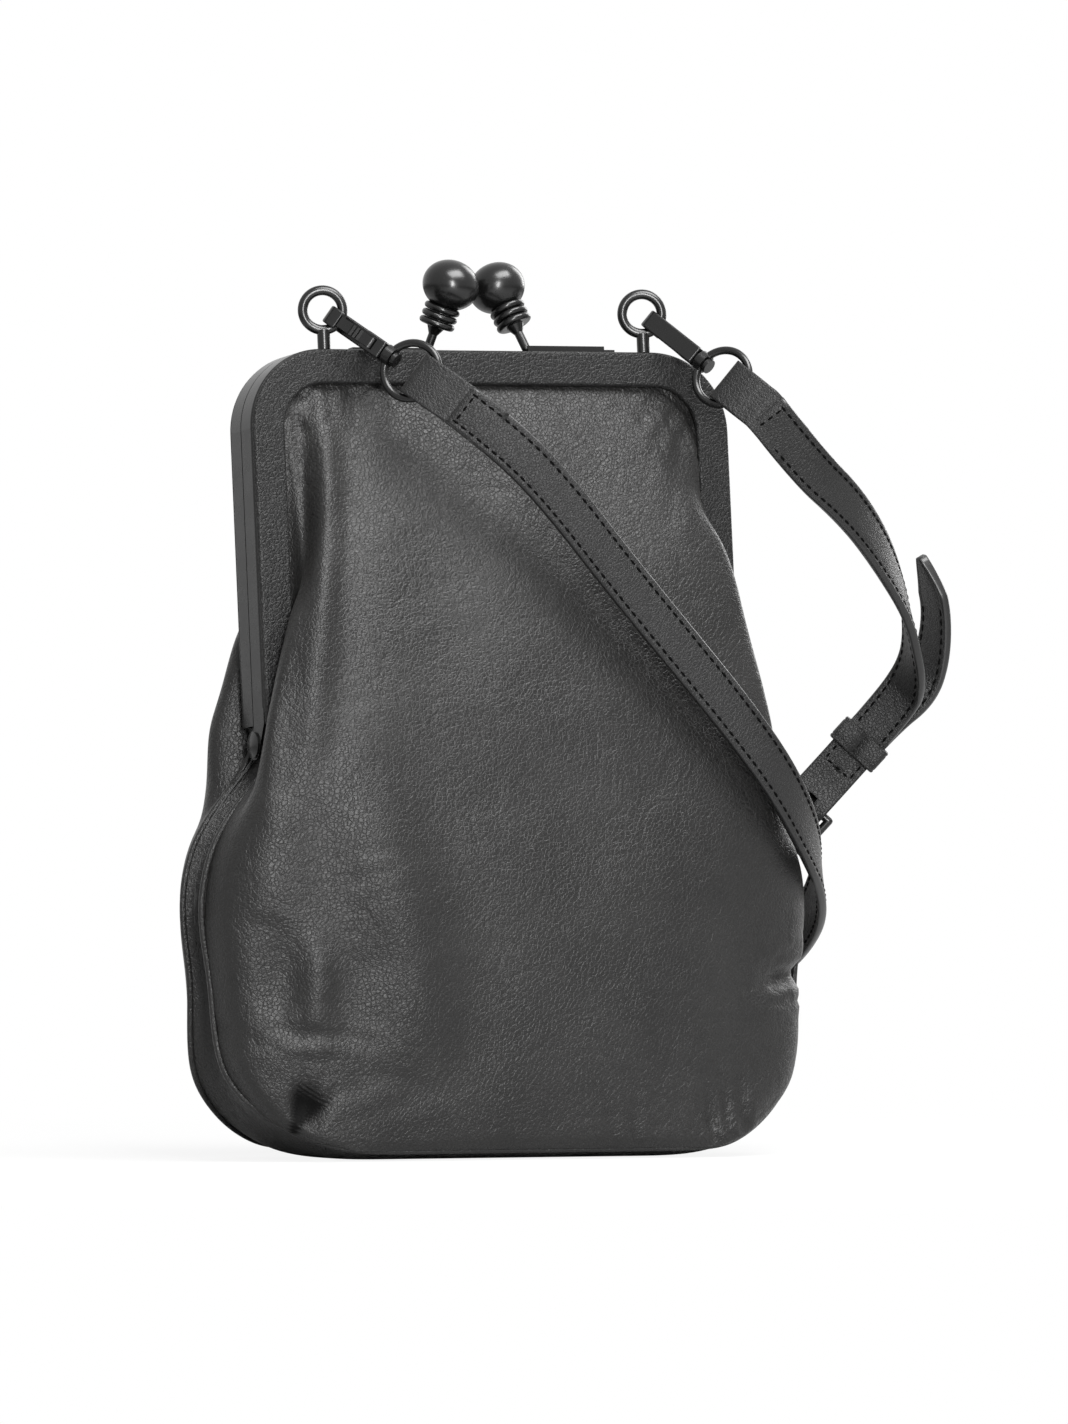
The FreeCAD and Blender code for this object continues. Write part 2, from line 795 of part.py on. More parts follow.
def side_outline(inner, edge, swell, fold=0, riser=0, blend=0):
    # Half of the panel's outline from its flange to the middle: a plain swelling, blended with one that comes
    # out between the legs and folds over them.
    folded = [(inner, edge)]
    for across, out in fold_outline_shares:
        folded.append((inner + fold * across, riser + (swell - riser) * out))
    for across, out in front_outline_shares:
        folded.append((inner * across, riser + (swell - riser) * out))
    points = []
    steps = len(folded) - 1
    for step, (fold_across, fold_out) in enumerate(folded):
        turn = math.pi / 2 * step / steps
        across = inner * math.cos(turn) ** section_power_share if step < steps else 0
        out = edge + (swell - edge) * math.sin(turn) ** section_power_share
        points.append((across + (fold_across - across) * blend, out + (fold_out - out) * blend))
    return points


def moved_inwards(points, distance):
    # The outline at a distance towards the pouch's inside, square at its two flanges.
    moved = []
    last = len(points) - 1
    for index, (across, out) in enumerate(points):
        if index in (0, last):
            moved.append((across - math.copysign(distance, across), out - distance))
            continue
        before = points[index - 1]
        after = points[index + 1]
        run = Vector(after[0] - before[0], after[1] - before[1], 0).normalize()
        moved.append((across - run.y * distance, out + run.x * distance))
    return moved


def panel_section(height, half, side_points, inset, thickness, side, place=None):
    # A closed outline of the panel's thickness: a flange at each end and a swelling between them.
    whole = side_points + [(-across, out) for across, out in reversed(side_points[:-1])]

    def face(distance):
        points = [Vector(across, side * out, height) for across, out in moved_inwards(whole, distance)]
        guide = Part.BSplineCurve()
        guide.buildFromPoles(points, False, 3)
        even = [points[0]] + guide.discretize(Number=OUTLINE_POINTS)[1:-1] + [points[-1]]
        curve = Part.BSplineCurve()
        curve.interpolate(Points=even, Parameters=even_steps)
        first = Vector(half, points[0].y, height)
        last = Vector(-half, points[-1].y, height)
        return first, points[0], curve, points[-1], last

    outer = face(inset)
    inner = face(inset + thickness)
    edges = [
        Part.makeLine(outer[0], outer[1]),
        outer[2].toShape(),
        Part.makeLine(outer[3], outer[4]),
        Part.makeLine(outer[4], inner[4]),
        Part.makeLine(inner[4], inner[3]),
        inner[2].toShape(),
        Part.makeLine(inner[1], inner[0]),
        Part.makeLine(inner[0], outer[0]),
    ]
    wire = Part.Wire(Part.__sortEdges__(edges))
    if place is not None:
        wire.Placement = place
    return wire


def seam_station(index):
    width, rise, depth = seam_shares[index]
    half = width * float(s.pouch_half_width)
    height = rise * float(s.hinge_height)
    return half, height, depth * base_depth_share * float(s.pouch_half_depth)


panel_setback = float(s.layer_gap + s.piping_width + s.seam_gap + s.leather)


cover_face = s.half_parting + s.half_depth + s.cover_thickness
fold_riser = float(cover_face + s.fold_clearance)
channel_edge = float(s.half_parting + s.half_depth - s.frame_wall - s.layer_gap)


def lower_sections(side, inset, thickness, first=0):
    # Horizontal sections from the base up, at the seam stations from the last to the given one. A lining starts
    # one station higher.
    sections = []
    base = len(seam_shares) - 2 if inset else len(seam_shares) - 1
    for index in range(base, first - 1, -1):
        half, height, depth = seam_station(index)
        trim = float(s.lining_trim) if inset else 0
        edge = depth + panel_setback
        swell, fold = (share * float(s.pouch_half_depth) for share in panel_shares[index][:2])
        inner_half = half - trim - float(s.seam_flange)
        points = side_outline(inner_half + inset, edge, swell, fold, edge, panel_shares[index][2])
        sections.append(panel_section(height, half - trim, points, inset, thickness, side))
    return sections


def upper_sections(side, inset, thickness):
    # Sections between the frame's legs and into its channel, leaning with the frame.
    in_channel = float(s.frame_half_width - s.face_width + s.channel_depth)
    at_mouth = float(s.frame_half_width - s.face_width - s.cover_lip - s.layer_gap)
    arc_x = float(s.frame_half_width - s.corner_radius)
    arc_z = float(frame_top - s.corner_radius)
    sections = []
    for rise, swell_share, fold_share, blend in upper_shares:
        height = float(s.hinge_height) + rise * float(s.frame_rise)
        swell = swell_share * float(s.pouch_half_depth)
        fold = fold_share * float(s.pouch_half_depth)
        if side > 0:
            fold = 0
            blend = 0
        points = side_outline(at_mouth, channel_edge, swell, fold, fold_riser, blend)
        sections.append((height, in_channel, points))
    mouth_top = float(frame_top - s.face_width)
    top = arc_z + in_channel - arc_x - float(s.layer_gap) * 2
    for height in (mouth_top, top):
        reach = math.sqrt((in_channel - arc_x) ** 2 - (height - arc_z) ** 2)
        sections.append((height, arc_x + reach, side_outline(arc_x, channel_edge, channel_edge)))
    return [
        panel_section(height, half, points, inset, thickness, side, lean)
        for height, half, points in sections
    ]


def skirt_sections(side, inset, thickness):
    # The upper back panel's lower edge, which stays inside the lower one as the frame opens.
    low = float(s.hinge_height - s.back_fold_drop)
    half = float(s.pouch_half_width - s.back_fold_inset)
    sections = []
    for height, share in zip((low, float(s.hinge_height)), skirt_swell_shares):
        swell = share * float(s.pouch_half_depth)
        points = side_outline(half - float(s.seam_flange), channel_edge, swell)
        sections.append(panel_section(height, half - inset, points, inset, thickness, side, lean))
    return sections


def loft(sections):
    return Part.makeLoft(sections, True, True)


def pouch_layer(prefix, inset, thickness):
    front = lower_sections(-1, inset, thickness) + upper_sections(-1, inset, thickness)
    back_upper = skirt_sections(1, inset, thickness) + upper_sections(1, inset, thickness)
    solid(f"front_{prefix}", loft(front))
    solid(f"back_{prefix}", loft(lower_sections(1, inset, thickness, 1)))
    solid(f"back_{prefix}_upper", loft(back_upper))


pouch_layer("panel", 0, float(s.leather))
pouch_layer("lining", float(s.leather + s.layer_gap), float(s.lining))


def seam_path():
    # Stations down the right side, along the base and up the left side, with their outward normals.
    right = [seam_station(index) for index in range(len(seam_shares))]
    stations = right + [(-half, height, depth) for half, height, depth in reversed(right)]
    count = len(stations)
    path = []
    for index, (across, height, depth) in enumerate(stations):
        before = stations[max(index - 1, 0)]
        after = stations[min(index + 1, count - 1)]
        run = Vector(after[0] - before[0], 0, after[1] - before[1]).normalize()
        normal = Vector(-run.z, 0, run.x)
        if height == 0:
            normal = Vector(0, 0, -1)
        path.append((across, height, depth, normal))
    return path


def seam_strip(near, far, proud, inset, thickness):
    # A band along the seam between two distances from the middle plane, near and far given per station.
    wires = []
    for across, height, depth, normal in seam_path():
        outer = Vector(across + proud * normal.x, 0, height) - normal * inset
        inner = outer - normal * thickness
        low, high = near(depth), far(depth)
        corners = [outer + Vector(0, low, 0), outer + Vector(0, high, 0),
                   inner + Vector(0, high, 0), inner + Vector(0, low, 0)]
        wires.append(Part.makePolygon(corners + corners[:1]))
    return loft(wires)


gap = float(s.layer_gap)
solid("gusset", seam_strip(lambda depth: -depth, lambda depth: depth, 0, 0, float(s.leather)))
shy = float(s.gusset_lining_shy)
solid("gusset_lining", seam_strip(lambda depth: shy - depth, lambda depth: depth - shy, 0,
                                  float(s.leather) + gap, float(s.lining)))
for name, side in (("front", -1), ("back", 1)):
    solid(f"{name}_piping", seam_strip(
        lambda depth, side=side: side * (depth + gap),
        lambda depth, side=side: side * (depth + gap + float(s.piping_width)),
        float(s.piping_proud), 0, float(s.piping_depth)))


# Strap: a short and a long length, each folded round its ring, joined by the buckle.

# Each row is a point of the route and the way the strap's face looks there. The fold at the ring comes
# before it.
buckle_bar_point = Vector(104.4, 27.5, 92.4)
buckle_face = Vector(0.44, 0.895, 0.02)
short_strap_route = [
    ((81.3, -24, 182.8), (-0.42, -0.9, 0.1)),
    ((95.2, -19, 172.3), (-0.1, -0.95, 0.25)),
    ((109, -11, 159), (0.2, -0.9, 0.35)),
    ((119.5, -2, 144.1), (0.75, -0.55, 0.35)),
    ((125.3, 6, 132.4), (0.92, 0.05, 0.3)),
    ((126.5, 15.8, 119.8), (0.44, 0.895, 0.02)),
]
long_strap_route = [
    ((-7.5, -26, 187.2), (-0.4, -0.9, 0.1)),
    ((5.9, -28, 172.3), (-0.2, -0.97, 0.1)),
    ((22.8, -29, 152), (-0.2, -0.97, 0.1)),
    ((39.9, -30, 132.6), (-0.2, -0.97, 0.1)),
    ((55.2, -30.5, 115.4), (-0.1, -0.98, 0.1)),
    ((70.8, -28, 98.2), (0.3, -0.95, 0.1)),
    ((81.6, -19, 82.2), (0.75, -0.65, 0.1)),
    ((91.4, -5, 71), (0.98, -0.1, 0.15)),
    ((97.2, 12, 60.6), (0.95, 0.3, 0.1)),
    ((95, 30, 50), (0.75, 0.66, 0)),
    ((82, 46, 38), (0.5, 0.86, 0)),
    ((58, 56, 24), (0.3, 0.95, 0)),
    ((25, 60, 14), (0.1, 1, 0)),
    ((-8, 66, 9), (0.1, 0.99, 0)),
    ((-24, 78, 8), (1, 0, 0)),
    ((-10, 92, 9), (0.3, -0.95, 0)),
    ((25, 90, 14), (0, -0.8, 0.6)),
    ((58, 74, 30), (0, 0, 1)),
    ((80, 54, 54), (0.1, 0.7, 0.7)),
    ((90.9, 30.7, 77.5), (0.44, 0.895, 0.02)),
    ((96.1, 28.1, 83.9), (0.44, 0.895, 0.02)),
    ((101, 29.5, 88.1), (0.2, 0.96, -0.2)),
    ((106.4, 32, 92.3), (0.44, 0.895, 0.02)),
    ((111, 27.2, 99.1), (0.44, 0.895, 0.02)),
    ((124.1, 20.3, 115.4), (0.44, 0.895, 0.02)),
    ((133, 19, 121.9), (0.7, 0.65, -0.1)),
    ((138.2, 17.5, 131), (0.78, 0.58, 0)),
    ((139.1, 16, 141.5), (0.8, 0.55, 0.1)),
    ((136.1, 14.5, 150.1), (0.78, 0.52, 0.3)),
    ((132, 13, 156.9), (0.75, 0.5, 0.4)),
]
bend_share = 0.45
ARC_STEPS = 4
strap_layer = s.strap_thickness * 0.5
fold_end = s.strap_fold_length - strap_layer
ring_hole_radius = float(s.strap_ring_mean_radius - s.strap_ring_wire_radius)
ring_sag = ring_hole_radius - math.sqrt(ring_hole_radius ** 2 - (float(s.strap_width) / 2) ** 2)


def fold_place(name):
    # Its X axis runs from the ring's far wire into the strap, and Y is the way the strap's face looks.
    far = -(ring_centre_along + s.strap_ring_mean_radius)
    half_turn = Rotation(Z_AXIS if name == "left" else Y_AXIS, 180)
    return hook_places[name] * Placement(vec(far, 0, 0), half_turn)


def strap_fold(place, wire_radius, sag):
    # The end of the strap turned back round a wire: an outline with an eye in it, as wide as the strap.
    layer = strap_layer.value
    eye = float(wire_radius + s.strap_fold_gap)
    reach = float(s.strap_fold_length)
    wide = eye + layer

    def ring_of(half_outline):
        both = half_outline + [(x, -y) for x, y in reversed(half_outline)]
        points = [vec(x, y, s.strap_width * -0.5) for x, y in both]
        return Part.makePolygon(points + points[:1])

    outline = ring_of([(reach, layer), (eye, wide), (-sag, wide), (-sag - wide, layer)])
    slit = ring_of([(eye, eye), (-sag, eye), (-sag - eye, eye / 2)])
    shape = Part.Face(outline).cut(Part.Face(slit)).extrude(vec(0, 0, s.strap_width))
    shape.Placement = place
    return shape


def strap_stations(route):
    # Straight runs joined by tangent arcs as wide as the runs allow. The face is blended from point to point.
    points = [point for point, _ in route]
    faces = [face for _, face in route]
    first_run = points[1] - points[0]
    stations = [(points[0], first_run.normalize(), faces[0])]
    for index in range(1, len(points) - 1):
        before = points[index] - points[index - 1]
        after = points[index + 1] - points[index]
        tangent_length = bend_share * min(before.Length, after.Length)
        turn = before.getAngle(after)
        axis = before.cross(after)
        heading = before.normalize()
        start = points[index] - heading * tangent_length
        centre = start + axis.cross(heading).normalize() * (tangent_length / math.tan(turn / 2))
        for step in range(ARC_STEPS + 1):
            spin = Rotation(axis, math.degrees(turn) * step / ARC_STEPS)
            blend = bend_share * (2 * step / ARC_STEPS - 1)
            neighbour = faces[index + 1] if blend > 0 else faces[index - 1]
            face = faces[index] * (1 - abs(blend)) + neighbour * abs(blend)
            stations.append((centre + spin.multVec(start - centre), spin.multVec(heading), face))
    last_run = points[-1] - points[-2]
    stations.append((points[-1], last_run.normalize(), faces[-1]))
    return stations


def ribbon(label, route, pointed):
    stations = strap_stations(route)
    spans = [(after[0] - before[0]).Length for before, after in zip(stations, stations[1:])]
    length = sum(spans)
    sections = []
    area_along = []
    for index, (place, tangent, face) in enumerate(stations):
        left = sum(spans[index:])
        taper = min(left / float(s.strap_tip_length), 1) if pointed else 1
        width = float(s.strap_tip_width) + float(s.strap_width - s.strap_tip_width) * taper
        across = tangent.cross(face).normalize()
        up = across.cross(tangent)
        side = across * (width / 2)
        lift = up * strap_layer.value
        corners = [place - side - lift, place + side - lift, place + side + lift, place - side + lift]
        sections.append(Part.makePolygon(corners + corners[:1]))
        area_along.append(width * float(s.strap_thickness))
    shape = loft(sections)
    expected = sum(span * (one + two) / 2 for span, one, two in zip(spans, area_along, area_along[1:]))
    print(label, "length", round(length, 1), "volume share", round(shape.Volume / expected, 3))
    return shape


def route_from(place, rows):
    start = (place.multVec(vec(fold_end, 0, 0)), place.Rotation.multVec(Y_AXIS))
    return [start] + [(Vector(*point), Vector(*face)) for point, face in rows]


strap_up = Vector(*short_strap_route[-1][0]) - buckle_bar_point
buckle_place = axes_place(buckle_bar_point, strap_up, strap_up.cross(buckle_face))
prong_mean = s.buckle_wire_radius + s.prong_radius * 0.5
prong_seat = s.buckle_wire_radius + s.prong_radius + s.running_clearance
prong_angle = math.degrees(math.asin(float(prong_seat) / float(s.buckle_length - prong_mean)))
prong_rod_length = s.buckle_length - prong_mean + s.prong_overhang
prong_place = buckle_place * Placement(
    vec(-prong_mean, 0, 0), Rotation(Z_AXIS, -prong_angle).multiply(Rotation(Z_AXIS, -X_AXIS)))


def short_strap():
    ring_end = fold_place("right")
    bar_end = buckle_place.multVec(vec(s.strap_fold_length, 0, 0))
    route = route_from(ring_end, short_strap_route) + [(bar_end, buckle_face)]
    slot_width = s.prong_collar_width + s.strap_fold_gap * 2
    slot_reach = s.buckle_wire_radius + s.prong_radius + s.strap_fold_gap
    slot_size = slot_reach * 2 + s.strap_thickness
    slot = Part.makeBox(float(slot_size), float(slot_size), float(slot_width),
                        vec(slot_reach - slot_size, slot_size * -0.5, slot_width * -0.5))
    slot.Placement = buckle_place
    bar_fold = strap_fold(buckle_place, s.buckle_wire_radius, 0).cut(slot)
    ring_fold = strap_fold(ring_end, s.strap_ring_wire_radius, ring_sag)
    solid("short_strap", ribbon("short_strap", route, False).fuse([ring_fold, bar_fold]))


def long_strap():
    ring_end = fold_place("left")
    ring_fold = strap_fold(ring_end, s.strap_ring_wire_radius, ring_sag)
    hole = Part.makeCylinder(float(s.prong_radius + s.strap_fold_gap), prong_rod_length.value)
    hole.Placement = prong_place
    whole = ribbon("long_strap", route_from(ring_end, long_strap_route), True).fuse(ring_fold)
    solid("long_strap", whole.cut(hole))


def buckle():
    half = s.buckle_half_width
    length = s.buckle_length
    wire = s.buckle_wire_radius
    backwards = Rotation(Z_AXIS, -X_AXIS)
    pieces = []
    for name, x in (("bar", 0), ("far_bar", -length)):
        place = buckle_place * Placement(vec(x, 0, -half), Rotation())
        pieces.append(primitive("Cylinder", f"buckle_{name}", place, Radius=wire, Height=half * 2))
    for name, z in (("low", -half), ("high", half)):
        place = buckle_place * Placement(vec(0, 0, z), backwards)
        pieces.append(primitive("Cylinder", f"buckle_{name}_side", place, Radius=wire, Height=length))
        for end, x in (("near", 0), ("far", -length)):
            corner = buckle_place * Placement(vec(x, 0, z), Rotation())
            pieces.append(primitive("Sphere", f"buckle_{name}_{end}_corner", corner, Radius=wire))
    fused("buckle_frame", pieces)


def buckle_prong():
    collar_width = s.prong_collar_width
    start = buckle_place * Placement(vec(0, 0, collar_width * -0.5), Rotation())
    bore_start = buckle_place * Placement(vec(0, 0, collar_width * -0.5 - s.overrun), Rotation())
    tip = prong_place * Placement(vec(0, 0, prong_rod_length), Rotation())
    whole = doc.addObject("Part::MultiFuse", "prong_whole")
    whole.Shapes = [
        primitive("Cylinder", "prong_collar", start,
                  Radius=s.buckle_wire_radius + s.prong_radius, Height=collar_width),
        primitive("Cylinder", "prong_rod", prong_place, Radius=s.prong_radius, Height=prong_rod_length),
        primitive("Sphere", "prong_tip", tip, Radius=s.prong_radius),
    ]
    bore = primitive("Cylinder", "prong_bore", bore_start,
                     Radius=s.buckle_wire_radius + s.running_clearance, Height=collar_width + s.overrun * 2)
    prong = doc.addObject("Part::Cut", "buckle_prong")
    prong.Base = whole
    prong.Tool = bore
    keep(prong, "buckle_prong")


def strap_keeper():
    # A loop round the short strap and the end of the long one.
    body = new_body("strap_keeper")
    sketch = start_sketch(body, "section", "XY_Plane", s.keeper_length * -0.5)
    wall = s.keeper_wall
    inner_half = s.strap_width * 0.5 + s.keeper_gap
    inner_low = -(strap_layer + s.keeper_gap)
    inner_high = strap_layer * 3 + s.strap_layer_gap + s.keeper_gap
    half = inner_half + wall
    low = inner_low - wall
    high = inner_high + wall
    draw(sketch, [
        (wall - half, low, wall),
        (half - wall, low),
        (half, low + wall, wall),
        (half, high - wall),
        (half - wall, high, wall),
        (wall - half, high),
        (-half, high - wall, wall),
        (-half, low + wall),
    ])
    draw(sketch, [
        (-inner_half, inner_low),
        (inner_half, inner_low),
        (inner_half, inner_high),
        (-inner_half, inner_high),
    ])
    pad(body, "loop", sketch, s.keeper_length)
    turn = Rotation(Y_AXIS, 90)
    body.Placement = buckle_place * Placement(vec(s.keeper_from_bar, 0, 0), turn)


short_strap()
long_strap()
buckle()
buckle_prong()
strap_keeper()


def check_and_write():
    doc.recompute()
    failed = [item.Label for item in doc.Objects if {"Invalid", "Error"} & set(item.State)]
    if failed:
        raise RuntimeError(f"failed objects: {failed}")
    for item in sub_parts:
        shape = item.Shape
        if shape.isNull() or not shape.isValid() or not shape.Solids:
            raise RuntimeError(f"bad shape: {item.Label}")
    os.makedirs("parts", exist_ok=True)
    for item in sub_parts:
        item.Shape.exportStep(f"parts/{item.Label}.step")
        print(item.Label, round(item.Shape.Volume, 1), len(item.Shape.Solids))


check_and_write()
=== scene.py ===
import json
import math

import bmesh
import bpy
import numpy as np
from mathutils import Vector, noise
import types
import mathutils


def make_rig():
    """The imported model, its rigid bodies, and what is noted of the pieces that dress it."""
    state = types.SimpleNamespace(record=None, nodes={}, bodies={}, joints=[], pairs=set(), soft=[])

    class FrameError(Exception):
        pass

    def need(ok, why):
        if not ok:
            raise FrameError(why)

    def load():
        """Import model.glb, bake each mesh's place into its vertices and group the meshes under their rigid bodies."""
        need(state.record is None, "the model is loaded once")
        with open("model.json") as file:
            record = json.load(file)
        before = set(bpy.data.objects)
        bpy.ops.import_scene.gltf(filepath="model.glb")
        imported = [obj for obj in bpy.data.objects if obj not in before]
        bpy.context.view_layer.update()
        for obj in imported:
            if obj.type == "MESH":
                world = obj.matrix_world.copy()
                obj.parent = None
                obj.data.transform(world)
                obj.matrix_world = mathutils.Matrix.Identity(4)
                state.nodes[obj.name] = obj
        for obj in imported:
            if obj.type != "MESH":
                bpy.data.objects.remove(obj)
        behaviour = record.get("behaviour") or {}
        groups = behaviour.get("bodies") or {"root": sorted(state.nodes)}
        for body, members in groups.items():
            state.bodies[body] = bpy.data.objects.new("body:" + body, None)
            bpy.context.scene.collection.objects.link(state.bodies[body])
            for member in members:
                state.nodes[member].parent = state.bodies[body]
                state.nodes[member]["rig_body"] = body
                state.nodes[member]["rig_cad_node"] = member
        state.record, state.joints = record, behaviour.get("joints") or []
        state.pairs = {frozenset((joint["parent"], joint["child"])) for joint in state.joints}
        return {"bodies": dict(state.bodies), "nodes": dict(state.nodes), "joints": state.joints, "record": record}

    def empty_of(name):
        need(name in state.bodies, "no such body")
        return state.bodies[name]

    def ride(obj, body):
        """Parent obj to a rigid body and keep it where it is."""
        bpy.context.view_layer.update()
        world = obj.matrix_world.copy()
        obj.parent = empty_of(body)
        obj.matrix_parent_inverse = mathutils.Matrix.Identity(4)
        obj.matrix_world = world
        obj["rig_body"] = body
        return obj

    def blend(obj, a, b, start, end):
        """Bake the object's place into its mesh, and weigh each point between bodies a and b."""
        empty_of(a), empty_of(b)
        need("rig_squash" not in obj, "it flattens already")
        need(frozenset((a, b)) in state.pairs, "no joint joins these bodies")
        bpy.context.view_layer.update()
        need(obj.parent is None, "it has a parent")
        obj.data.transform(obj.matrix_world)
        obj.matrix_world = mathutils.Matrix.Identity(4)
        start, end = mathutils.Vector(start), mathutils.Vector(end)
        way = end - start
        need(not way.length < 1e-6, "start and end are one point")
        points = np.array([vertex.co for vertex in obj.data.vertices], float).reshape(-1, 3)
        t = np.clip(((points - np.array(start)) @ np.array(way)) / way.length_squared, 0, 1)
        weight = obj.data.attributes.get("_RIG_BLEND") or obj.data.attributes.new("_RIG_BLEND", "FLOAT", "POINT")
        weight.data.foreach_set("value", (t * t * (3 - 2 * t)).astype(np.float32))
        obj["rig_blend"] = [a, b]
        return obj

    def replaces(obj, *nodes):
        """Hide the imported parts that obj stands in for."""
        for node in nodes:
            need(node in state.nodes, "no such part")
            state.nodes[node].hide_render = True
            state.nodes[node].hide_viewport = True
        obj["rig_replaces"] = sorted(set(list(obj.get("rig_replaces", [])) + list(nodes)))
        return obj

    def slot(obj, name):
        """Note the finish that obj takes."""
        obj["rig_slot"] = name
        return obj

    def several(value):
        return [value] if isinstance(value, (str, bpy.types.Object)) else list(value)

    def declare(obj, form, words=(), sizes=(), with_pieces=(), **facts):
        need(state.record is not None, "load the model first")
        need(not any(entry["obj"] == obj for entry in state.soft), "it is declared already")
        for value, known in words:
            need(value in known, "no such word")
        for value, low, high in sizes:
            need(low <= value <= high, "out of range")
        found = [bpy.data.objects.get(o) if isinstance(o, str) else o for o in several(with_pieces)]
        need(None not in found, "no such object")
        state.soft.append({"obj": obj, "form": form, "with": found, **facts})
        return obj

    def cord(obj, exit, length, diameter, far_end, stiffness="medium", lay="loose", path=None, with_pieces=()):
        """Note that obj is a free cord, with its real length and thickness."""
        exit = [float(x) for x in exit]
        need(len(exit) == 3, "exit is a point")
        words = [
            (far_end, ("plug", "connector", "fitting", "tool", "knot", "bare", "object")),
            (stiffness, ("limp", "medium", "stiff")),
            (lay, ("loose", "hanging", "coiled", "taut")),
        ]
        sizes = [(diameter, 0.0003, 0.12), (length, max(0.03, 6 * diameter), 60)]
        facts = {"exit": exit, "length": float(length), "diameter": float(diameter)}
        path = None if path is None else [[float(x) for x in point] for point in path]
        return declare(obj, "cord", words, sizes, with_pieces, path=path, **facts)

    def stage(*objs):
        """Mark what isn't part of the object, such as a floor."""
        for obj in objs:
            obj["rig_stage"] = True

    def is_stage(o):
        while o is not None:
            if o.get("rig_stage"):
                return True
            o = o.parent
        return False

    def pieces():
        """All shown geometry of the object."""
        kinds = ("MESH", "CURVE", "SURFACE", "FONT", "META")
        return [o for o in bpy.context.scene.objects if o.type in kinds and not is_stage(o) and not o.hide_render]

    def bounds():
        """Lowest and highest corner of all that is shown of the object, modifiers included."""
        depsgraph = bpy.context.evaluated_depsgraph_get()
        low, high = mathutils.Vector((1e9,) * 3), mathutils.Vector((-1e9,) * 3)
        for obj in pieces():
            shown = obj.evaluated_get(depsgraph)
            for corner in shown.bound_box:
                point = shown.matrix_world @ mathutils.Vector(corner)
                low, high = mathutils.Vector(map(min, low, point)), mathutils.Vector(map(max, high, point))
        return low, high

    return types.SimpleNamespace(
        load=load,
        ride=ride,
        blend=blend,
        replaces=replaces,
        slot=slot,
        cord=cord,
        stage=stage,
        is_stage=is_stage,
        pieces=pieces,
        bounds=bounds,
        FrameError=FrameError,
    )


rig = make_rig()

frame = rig.load()
cadBox = [list(corner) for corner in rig.bounds()]
nodes = frame["nodes"]
mm = 0.001
scene = bpy.context.scene
noise.seed_set(11)  # the same crinkles each run
print("frame loaded:", len(nodes), "nodes")


# Finishes


class Wire:
    # a socket that can stand in a sum
    def __init__(self, tree, socket):
        self.tree = tree
        self.socket = socket

    def sum(self, operation, other, swapped=False):
        node = self.tree.nodes.new("ShaderNodeMath")
        node.operation = operation
        for socket, value in zip(node.inputs, (other, self) if swapped else (self, other)):
            feed(self.tree, socket, value)
        return Wire(self.tree, node.outputs[0])

    def __add__(self, other):
        return self.sum("ADD", other)

    __radd__ = __add__

    def __sub__(self, other):
        return self.sum("SUBTRACT", other)

    def __rsub__(self, other):
        return self.sum("SUBTRACT", other, True)

    def __mul__(self, other):
        return self.sum("MULTIPLY", other)

    __rmul__ = __mul__


def feed(tree, socket, value):
    if isinstance(value, Wire):
        tree.links.new(value.socket, socket)
    else:
        socket.default_value = value


class Finish:
    # a material with one principled shader; constants go straight onto its sockets
    def __init__(self, name, **constants):
        self.material = bpy.data.materials.new(name)
        self.material.use_nodes = True
        self.tree = self.material.node_tree
        self.shader = self.tree.nodes["Principled BSDF"]
        for socket, value in constants.items():
            self.shader.inputs[socket.replace("_", " ")].default_value = value
        self.place = self.add("TexCoord", out="Object")

    def add(self, kind, settings=None, out=None, **sockets):
        node = self.tree.nodes.new("ShaderNode" + kind)
        for key, value in (settings or {}).items():
            setattr(node, key, value)
        for socket, value in sockets.items():
            found = [s for s in node.inputs if s.enabled and s.name == socket.replace("_", " ")]
            feed(self.tree, found[0], value)
        made = [s for s in node.outputs if s.enabled and out in (None, s.name)]
        return Wire(self.tree, made[0])

    def blend(self, share, first, second):
        return self.add("Mix", {"data_type": "RGBA"}, out="Result", Factor=share, A=first, B=second)

    def noise(self, scale, detail=3.0, roughness=0.5, distortion=0.0):
        return self.add("TexNoise", out="Fac", Vector=self.place, Scale=scale, Detail=detail,
                        Roughness=roughness, Distortion=distortion)

    def cells(self, scale, feature, place):
        return self.add("TexVoronoi", {"feature": feature}, out="Distance", Vector=place, Scale=scale)

    def range(self, value, low, high, toLow=0.0, toHigh=1.0):
        return self.add("MapRange", Value=value, From_Min=low, From_Max=high, To_Min=toLow, To_Max=toHigh)

    def bump(self, height, strength, depth, under=None):
        extra = {"Normal": under} if under else {}
        return self.add("Bump", out="Normal", Height=height, Strength=strength, Distance=depth, **extra)

    def set(self, **sockets):
        for socket, value in sockets.items():
            feed(self.tree, self.shader.inputs[socket.replace("_", " ")], value)
        return self.material

    def overlay(self, share, other):
        # another shader mixed over the principled one
        mixed = self.add("MixShader", out="Shader", Fac=share).socket
        self.tree.links.new(self.shader.outputs[0], mixed.node.inputs[1])
        self.tree.links.new(other.socket, mixed.node.inputs[2])
        self.tree.links.new(mixed, self.tree.nodes["Material Output"].inputs["Surface"])


def grey(level, warm=0.0):
    return (level * (1 + warm), level, level * (1 - warm), 1)


# what the leathers share: texture scales as shares of the pores' scale, edges of ranges, depths in metres, and the
# grey of the painted shade in a pinch
leather = {"swirl": 0.35, "lines": 0.62, "fine": 2.6, "lineEdge": 0.16, "threadEdge": 0.004,
           "broadFrom": 0.35, "broadTo": 0.68, "grainDepth": 0.00035, "creaseDepth": 0.0006,
           "hollow": 0.004}


